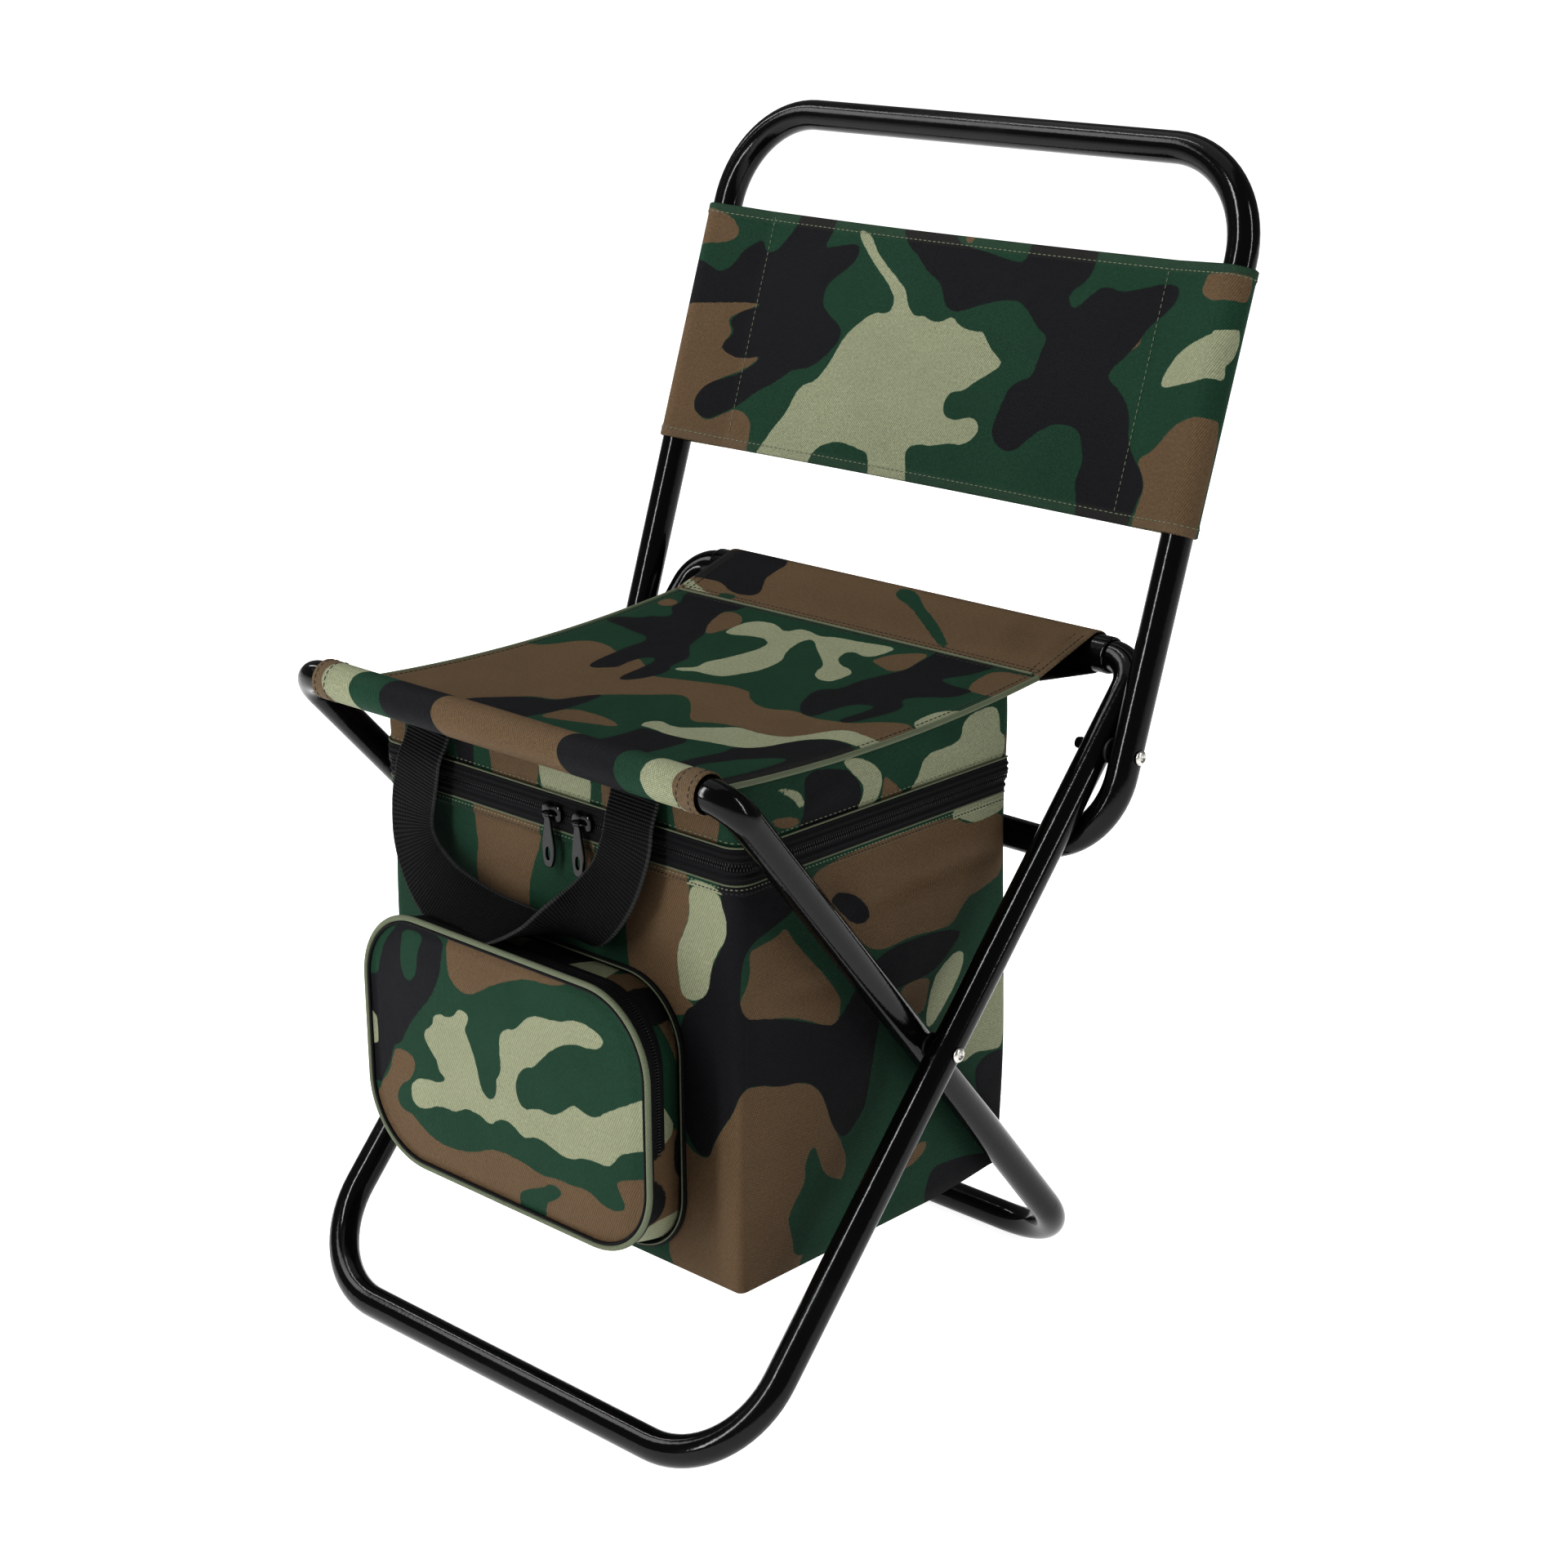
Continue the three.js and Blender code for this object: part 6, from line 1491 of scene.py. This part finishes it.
def build_pocket_face():
    """The face: a padded panel, its outline drawn in to its middle ring by ring and crowned by a cubic."""
    front, back = np.linspace(0.03, 0.985, 42), np.linspace(0.97, 0.03, 10)
    middle = np.array([0, (POCKET_LOW + POCKET_LIFT_LOW + POCKET_HIGH + POCKET_LIFT_HIGH) / 2])
    plan = drawn_in(pocket_ring(1.0, -0.4, 300), middle, np.concatenate([front, [1.0, 1.0], back]))
    x, z = plan[..., 0], plan[..., 1]
    crown = 3.4 * (1 - front ** 3.0)
    depth = np.concatenate([0.3 + crown, [0.0, -1.2], np.full(len(back), -1.5)])[:, None] + np.zeros(x.shape)
    rows = slice(len(front))
    depth[rows] += wave_field(5, x[rows], z[rows], 90) * 0.04 * (1 - front[:, None] ** 4)
    depth[rows] -= 0.9 * np.exp(-((front[:, None] - 0.955) / 0.018) ** 2)
    face = Solid()
    face.loft(points_of(x, POCKET_BACK - POCKET_DEPTH - depth, z), cloth=cloth_place(x, z),
              wear=np.zeros(x.shape), **printed("pocket", x, z))
    piece = face.place("pocket_face_pad", "cloth", "bag", "pocket_face", squash=True)


def build_pocket_cords():
    """The cords round the pocket: each an outline at a share of the depth, moved out and forward."""
    for name, finish, node, cords in (
        ("pocket_face_cord", "trim", "pocket_piping", ((1.0, 1.2, 0.4, 1.5, 16),)),
        # Black cords inside the face's piping and at the face's edge: partly a stitched seam, partly painted
        # shade of the shadow gap beside the piping
        ("pocket_face_seam", "tape", None, ((1.0, -0.9, 0.9, 0.8, 10), (0.955, 1.5, 0.0, 0.95, 10))),
        ("pocket_base_cord", "tape", "pocket_binding", ((0.045, 2.0, 0.0, 1.6, 14),)),
        ("pocket_base_line", "trim", None, ((0.10, 2.3, 0.0, 0.45, 8),)),
    ):
        cord = Solid()
        for share, margin, forward, radius, sides in cords:
            cord.tube(pocket_loop(share, margin) - [0, forward, 0], radius, (0, 1, 0), sides, ring=True)
        cord.place(name, finish, "bag", node, squash=True)


def build_pocket_zip():
    """The pocket's zip: two ribbed tapes over its top and sides, with a coil between them."""
    tape = Solid()
    for shares in (np.linspace(0.56, 0.735, 8), np.linspace(0.765, 0.93, 8)):
        rib = 0.5 * np.exp(-((shares - shares.mean()) / 0.03) ** 2)
        rings = [pocket_loop(share, 0.75 + high) for share, high in zip(shares, rib)]
        keep = rings[0][:, 2] > POCKET_ZIP_LOW
        grid = np.stack([ring[keep] for ring in rings])
        tape.sheet(grid, 0.9, cloth=cloth_place(shares[:, None] * 39, np.arange(grid.shape[1]) * POCKET_STEP))
    piece = tape.place("pocket_zip_band", "tape", "bag", "pocket_zip", squash=True)
    line, out = pocket_loop(0.75, 1.25), pocket_out()
    keep = line[:, 2] > POCKET_ZIP_LOW
    coil = Solid()
    for shift in (-0.9, 0.9):
        places, _, up = spaced(line[keep] + [0, shift, 0], 1.5, out[keep])
        coil.strew(BEAD, places, np.broadcast_to([0.0, 1.0, 0.0], places.shape), up, (2.3, 0.85, 1.0))
    coil.place("pocket_zip_coil", "coil", "bag", squash=True)


# Carry handle

# Middle of the strap and half its width, as x, y and z
HANDLE = np.array([
    (-83.5, -111.0, 318, 17, 0, 1), (-84.5, -113.4, 309, 17, 0, 2), (-86, -117.4, 298, 17, 0, 3),
    (-88.5, -118.6, 285, 16.5, 0, 3.5), (-90.5, -119.4, 271, 15, 0, 4), (-88, -121, 258, 14, 0.5, 4.5),
    (-79, -123, 245.5, 13, 2, 7), (-61.5, -126, 236, 11.5, 4.5, 9), (-39, -128.5, 232, 7, 9, 9),
    (-15, -130, 232.5, 2, 12, 7), (3, -130.5, 235, 0, 14, 2), (16, -130.5, 238, 0, 14, -4),
    (29, -129, 243.5, 4, 10, -10), (42, -126.5, 252, 9, 3, -11), (54, -122, 268, 13, 0, -6),
    (60.5, -118.8, 287, 15.5, 0, -1), (61.2, -116.6, 300, 16, 0, 1), (61.5, -113.2, 310, 16, 0, 0.5),
    (61.8, -111.0, 318, 16, 0, 0)], float)


def curve_through(points, count):
    """A smooth path through points: a cubic between each two, whose ends follow their neighbours."""
    extended = np.vstack([2 * points[0] - points[1], points, 2 * points[-1] - points[-2]])
    at = np.linspace(0, len(points) - 1 - 1e-9, count)
    k = at.astype(int)
    t = (at - k)[:, None]
    p0, p1, p2, p3 = (extended[k + n] for n in range(4))
    return 0.5 * (2 * p1 + (p2 - p0) * t + (2 * p0 - 5 * p1 + 4 * p2 - p3) * t ** 2
                  + (3 * p1 - p0 - 3 * p2 + p3) * t ** 3)


def build_handle():
    """Carry handle: a strap along a path through drawn points, flat on the bag where it is sewn on and
    turned over where it hangs lowest, with a hollow across its width there."""
    drawn = curve_through(HANDLE, 240)
    path, wide = drawn[:, :3], drawn[:, 3:]
    along = unit(np.gradient(path, axis=0))
    wide = unit(wide - along * (wide * along).sum(1, keepdims=True))
    run = measured(path)
    across = np.linspace(-1, 1, 23)
    lowest = np.exp(-((path[:, 0] - 4) / 26) ** 2) * (path[:, 2] < 280)
    width, hollow = (15.4 - 1.4 * lowest)[:, None, None], (2.6 * lowest)[:, None, None]
    grid = (path[:, None] + across[:, None] * wide[:, None] * width
            + (across ** 2)[:, None] * np.cross(along, wide)[:, None] * hollow)
    place = points_of(across * 14.6 * MM, run[:, None] * MM, np.abs(across))
    strap = Solid()
    strap.sheet(grid, 1.7, cloth=place)
    piece = strap.place("handle_strap", "web", "handle", "carry_handle", squash=True)


# Studio

def stand(item, right, up, back, place):
    """Puts a light or the camera at a place in metres, looking against its direction back."""
    bpy.context.scene.collection.objects.link(item)
    item.matrix_world = Matrix([[right[k], up[k], back[k], place[k]] for k in range(3)] + [[0, 0, 0, 1]])


def build_stage(settings):
    """A wide round pale floor, soft lights that each look at the stool, and the camera of the photograph:
    a turn about the vertical, a tilt down and a small roll."""
    reach = np.array([0.05, 0.5, 1.5, 4.0, 9.0, 14.0])[:, None]
    ring = circle_of(64)
    grid = points_of(reach * ring[:, 0], reach * ring[:, 1], 0.0)
    floor = Solid()
    floor.loft(np.concatenate([grid, grid[::-1] - [0, 0, 0.02]]) / MM - [0, SHIFT, 0])
    piece = floor.place("studio_floor", "floor")
    scene = bpy.context.scene
    world = bpy.data.worlds.new("studio_air")
    world.use_nodes = True
    colour, strength = world.node_tree.nodes["Background"].inputs[:2]
    colour.default_value, strength.default_value = (1, 1, 1, 1), settings.air
    scene.world = world
    for name, place, aim, axis, size, power in (
        ("overhead_softbox", (-0.35, 0.15, 2.1), (0, 0, 0.2), (1, 0, 0), (1.7, 1.7), settings.overhead),
        ("key_strip", (-0.26, -1.75, 1.35), (0, 0, 0.3), (0.1, 0.45, 0.9), (2.2, 0.26), settings.key),
        ("left_softbox", (-1.36, -0.95, 1.72), (0, 0, 0.25), (1, 0, 0), (0.8, 0.8), settings.key * 0.3),
        ("top_strip", (-1.43, -0.2, 1.95), (0, 0, 0.3), (1, 0, 0), (2.0, 0.14), settings.key * 0.3),
        ("right_strip", (1.9, 0.5, 1.3), (0, 0, 0.25), (0, 0.3, 0.95), (1.7, 0.12), settings.key * 0.4),
    ):
        data = bpy.data.lights.new(name, "AREA")
        data.shape, data.size, data.size_y, data.energy = "RECTANGLE", size[0], size[1], power
        back = unit(np.array(place) - np.array(aim))
        right = unit(np.array(axis) - back * (back @ axis))
        light = bpy.data.objects.new(name, data)
        stand(light, right, np.cross(back, right), back, place)
    data = bpy.data.cameras.new("photograph_view")
    data.lens, data.sensor_width, data.clip_start, data.clip_end = settings.lens, 36.0, 0.05, 60.0
    turn, tilt, roll = (math.radians(degrees) for degrees in VIEW_TURNS)
    back = np.array([math.sin(turn) * math.cos(tilt), -math.cos(turn) * math.cos(tilt), math.sin(tilt)])
    right = unit(np.cross([0, 0, 1], back))
    up = np.cross(back, right)
    right, up = right * math.cos(roll) + up * math.sin(roll), up * math.cos(roll) - right * math.sin(roll)
    camera = bpy.data.objects.new("photograph_view", data)
    stand(camera, right, up, back, EYE)
    scene.camera = camera
    scene.view_settings.view_transform = "Standard"
    scene.view_settings.look = "High Contrast"


# Add-on

class StoolSettings(bpy.types.PropertyGroup):
    """Sizes and colours that a user would change."""

    def tint(label, default):
        """A colour that the user can set."""
        return bpy.props.FloatVectorProperty(name=label, description=label + " of the stool", subtype="COLOR",
                                             size=3, min=0, max=1, default=default)

    green: tint("Green cloth", (0.0165, 0.048, 0.0295))
    khaki: tint("Khaki cloth", (0.218, 0.230, 0.158))
    brown: tint("Brown cloth", (0.110, 0.076, 0.046))
    black: tint("Black cloth", (0.0135, 0.0138, 0.0155))
    trim: tint("Piping", (0.13, 0.148, 0.095))
    web: tint("Webbing", (0.0045, 0.0045, 0.005))
    paint: tint("Frame paint", (0.0045, 0.0045, 0.005))
    floor: tint("Floor", (0.86, 0.86, 0.86))
    weave: bpy.props.FloatProperty(name="Weave", description="Spacing of the cloth's twill in millimetres",
                                   default=1.5, min=0.3, max=4)
    web_rib: bpy.props.FloatProperty(name="Strap ribs", default=1.75, min=0.5, max=5,
                                     description="Spacing of the strap's bars in millimetres")
    tube_sides: bpy.props.IntProperty(name="Tube sides", description="Flats round each tube",
                                      default=48, min=12, max=96)
    overhead: bpy.props.FloatProperty(name="Overhead light", description="Power of the softbox above",
                                      subtype="POWER", default=5, min=0)
    key: bpy.props.FloatProperty(name="Key light", subtype="POWER", default=26, min=0,
                                 description="Power of the long strip light in front; the others have less")
    air: bpy.props.FloatProperty(name="Room light", description="Brightness of the white room",
                                 default=0.16, min=0)
    glow: bpy.props.FloatProperty(name="Floor glow", description="Light that the floor gives of itself",
                                  default=0.62, min=0)
    lens: bpy.props.FloatProperty(name="Lens", description="Focal length of the camera in millimetres",
                                  default=68.006, min=20, max=200)


class STOOL_OT_tubes(bpy.types.Operator):
    """Builds the bent tubes of the legs and the backrest and the straight rear rail"""
    bl_idname = "stool.tubes"
    bl_label = "Tubes"
    bl_options = {"REGISTER", "UNDO"}

    def execute(self, context):
        build_tubes(context.scene.stool.tube_sides)
        return {"FINISHED"}


class STOOL_OT_fasteners(bpy.types.Operator):
    """Builds the rivets and washers of the leg crossings and the backrest"""
    bl_idname = "stool.fasteners"
    bl_label = "Rivets and Washers"
    bl_options = {"REGISTER", "UNDO"}

    def execute(self, context):
        build_fasteners()
        return {"FINISHED"}


class STOOL_OT_seat(bpy.types.Operator):
    """Builds the seat cloth with its piping and stitches"""
    bl_idname = "stool.seat"
    bl_label = "Seat"
    bl_options = {"REGISTER", "UNDO"}

    def execute(self, context):
        build_seat()
        return {"FINISHED"}


class STOOL_OT_sleeves(bpy.types.Operator):
    """Builds the cloth sleeves of the front and rear rails"""
    bl_idname = "stool.sleeves"
    bl_label = "Rail Sleeves"
    bl_options = {"REGISTER", "UNDO"}

    def execute(self, context):
        build_front_sleeve()
        build_rear_sleeve()
        return {"FINISHED"}


class STOOL_OT_backrest_cover(bpy.types.Operator):
    """Builds the cloth across the backrest with its seams"""
    bl_idname = "stool.backrest_cover"
    bl_label = "Backrest Cover"
    bl_options = {"REGISTER", "UNDO"}

    def execute(self, context):
        build_backrest_cover()
        return {"FINISHED"}


class STOOL_OT_lid(bpy.types.Operator):
    """Builds the lid's cloth band and its foam"""
    bl_idname = "stool.lid"
    bl_label = "Lid"
    bl_options = {"REGISTER", "UNDO"}

    def execute(self, context):
        build_lid()
        build_lid_foam()
        return {"FINISHED"}


class STOOL_OT_bag(bpy.types.Operator):
    """Builds the bag's shell, foam and foil lining"""
    bl_idname = "stool.bag"
    bl_label = "Cooler Bag"
    bl_options = {"REGISTER", "UNDO"}

    def execute(self, context):
        build_bag()
        build_bag_layers()
        return {"FINISHED"}


class STOOL_OT_zip(bpy.types.Operator):
    """Builds the bag's zip with its piping and binding"""
    bl_idname = "stool.zip"
    bl_label = "Bag Zip"
    bl_options = {"REGISTER", "UNDO"}

    def execute(self, context):
        build_zip()
        build_zip_trims()
        return {"FINISHED"}


class STOOL_OT_pocket(bpy.types.Operator):
    """Builds the pocket's wall, padded face, cords and zip"""
    bl_idname = "stool.pocket"
    bl_label = "Front Pocket"
    bl_options = {"REGISTER", "UNDO"}

    def execute(self, context):
        build_pocket()
        build_pocket_face()
        build_pocket_cords()
        build_pocket_zip()
        return {"FINISHED"}


class STOOL_OT_sliders(bpy.types.Operator):
    """Builds the sliders and pulls of both zips"""
    bl_idname = "stool.sliders"
    bl_label = "Zip Sliders"
    bl_options = {"REGISTER", "UNDO"}

    def execute(self, context):
        build_sliders()
        return {"FINISHED"}


class STOOL_OT_handle(bpy.types.Operator):
    """Builds the webbing handle under the front rail"""
    bl_idname = "stool.handle"
    bl_label = "Carry Handle"
    bl_options = {"REGISTER", "UNDO"}

    def execute(self, context):
        build_handle()
        return {"FINISHED"}


class STOOL_OT_stage(bpy.types.Operator):
    """Builds the floor, the lights and the camera"""
    bl_idname = "stool.stage"
    bl_label = "Studio"
    bl_options = {"REGISTER", "UNDO"}

    def execute(self, context):
        build_stage(context.scene.stool)
        return {"FINISHED"}


STEPS = (
    STOOL_OT_tubes,
    STOOL_OT_fasteners,
    STOOL_OT_seat,
    STOOL_OT_sleeves,
    STOOL_OT_backrest_cover,
    STOOL_OT_lid,
    STOOL_OT_bag,
    STOOL_OT_zip,
    STOOL_OT_pocket,
    STOOL_OT_sliders,
    STOOL_OT_handle,
    STOOL_OT_stage,
)


class STOOL_PT_pieces(bpy.types.Panel):
    """Lists the groups of pieces and their settings in the sidebar"""
    bl_label = "Folding Cooler Stool"
    bl_space_type = "VIEW_3D"
    bl_region_type = "UI"
    bl_category = "Stool"

    def draw(self, context):
        """Shows the settings, and under them a button for each group."""
        for name in StoolSettings.__annotations__:
            self.layout.prop(context.scene.stool, name)
        for step in STEPS:
            self.layout.operator(step.bl_idname)


CLASSES = (StoolSettings, *STEPS, STOOL_PT_pieces)


def register():
    """Makes the classes known to Blender and gives every scene the stool's settings."""
    for item in CLASSES:
        bpy.utils.register_class(item)
    bpy.types.Scene.stool = bpy.props.PointerProperty(
        type=StoolSettings, name="Stool", description="Sizes and colours of the stool")


def unregister():
    """Takes both away again."""
    del bpy.types.Scene.stool
    for item in reversed(CLASSES):
        bpy.utils.unregister_class(item)


def main():
    """Registers the add-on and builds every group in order."""
    register()
    for step in STEPS:
        getattr(bpy.ops.stool, step.bl_idname.split(".")[1])()


if __name__ == "__main__":
    main()
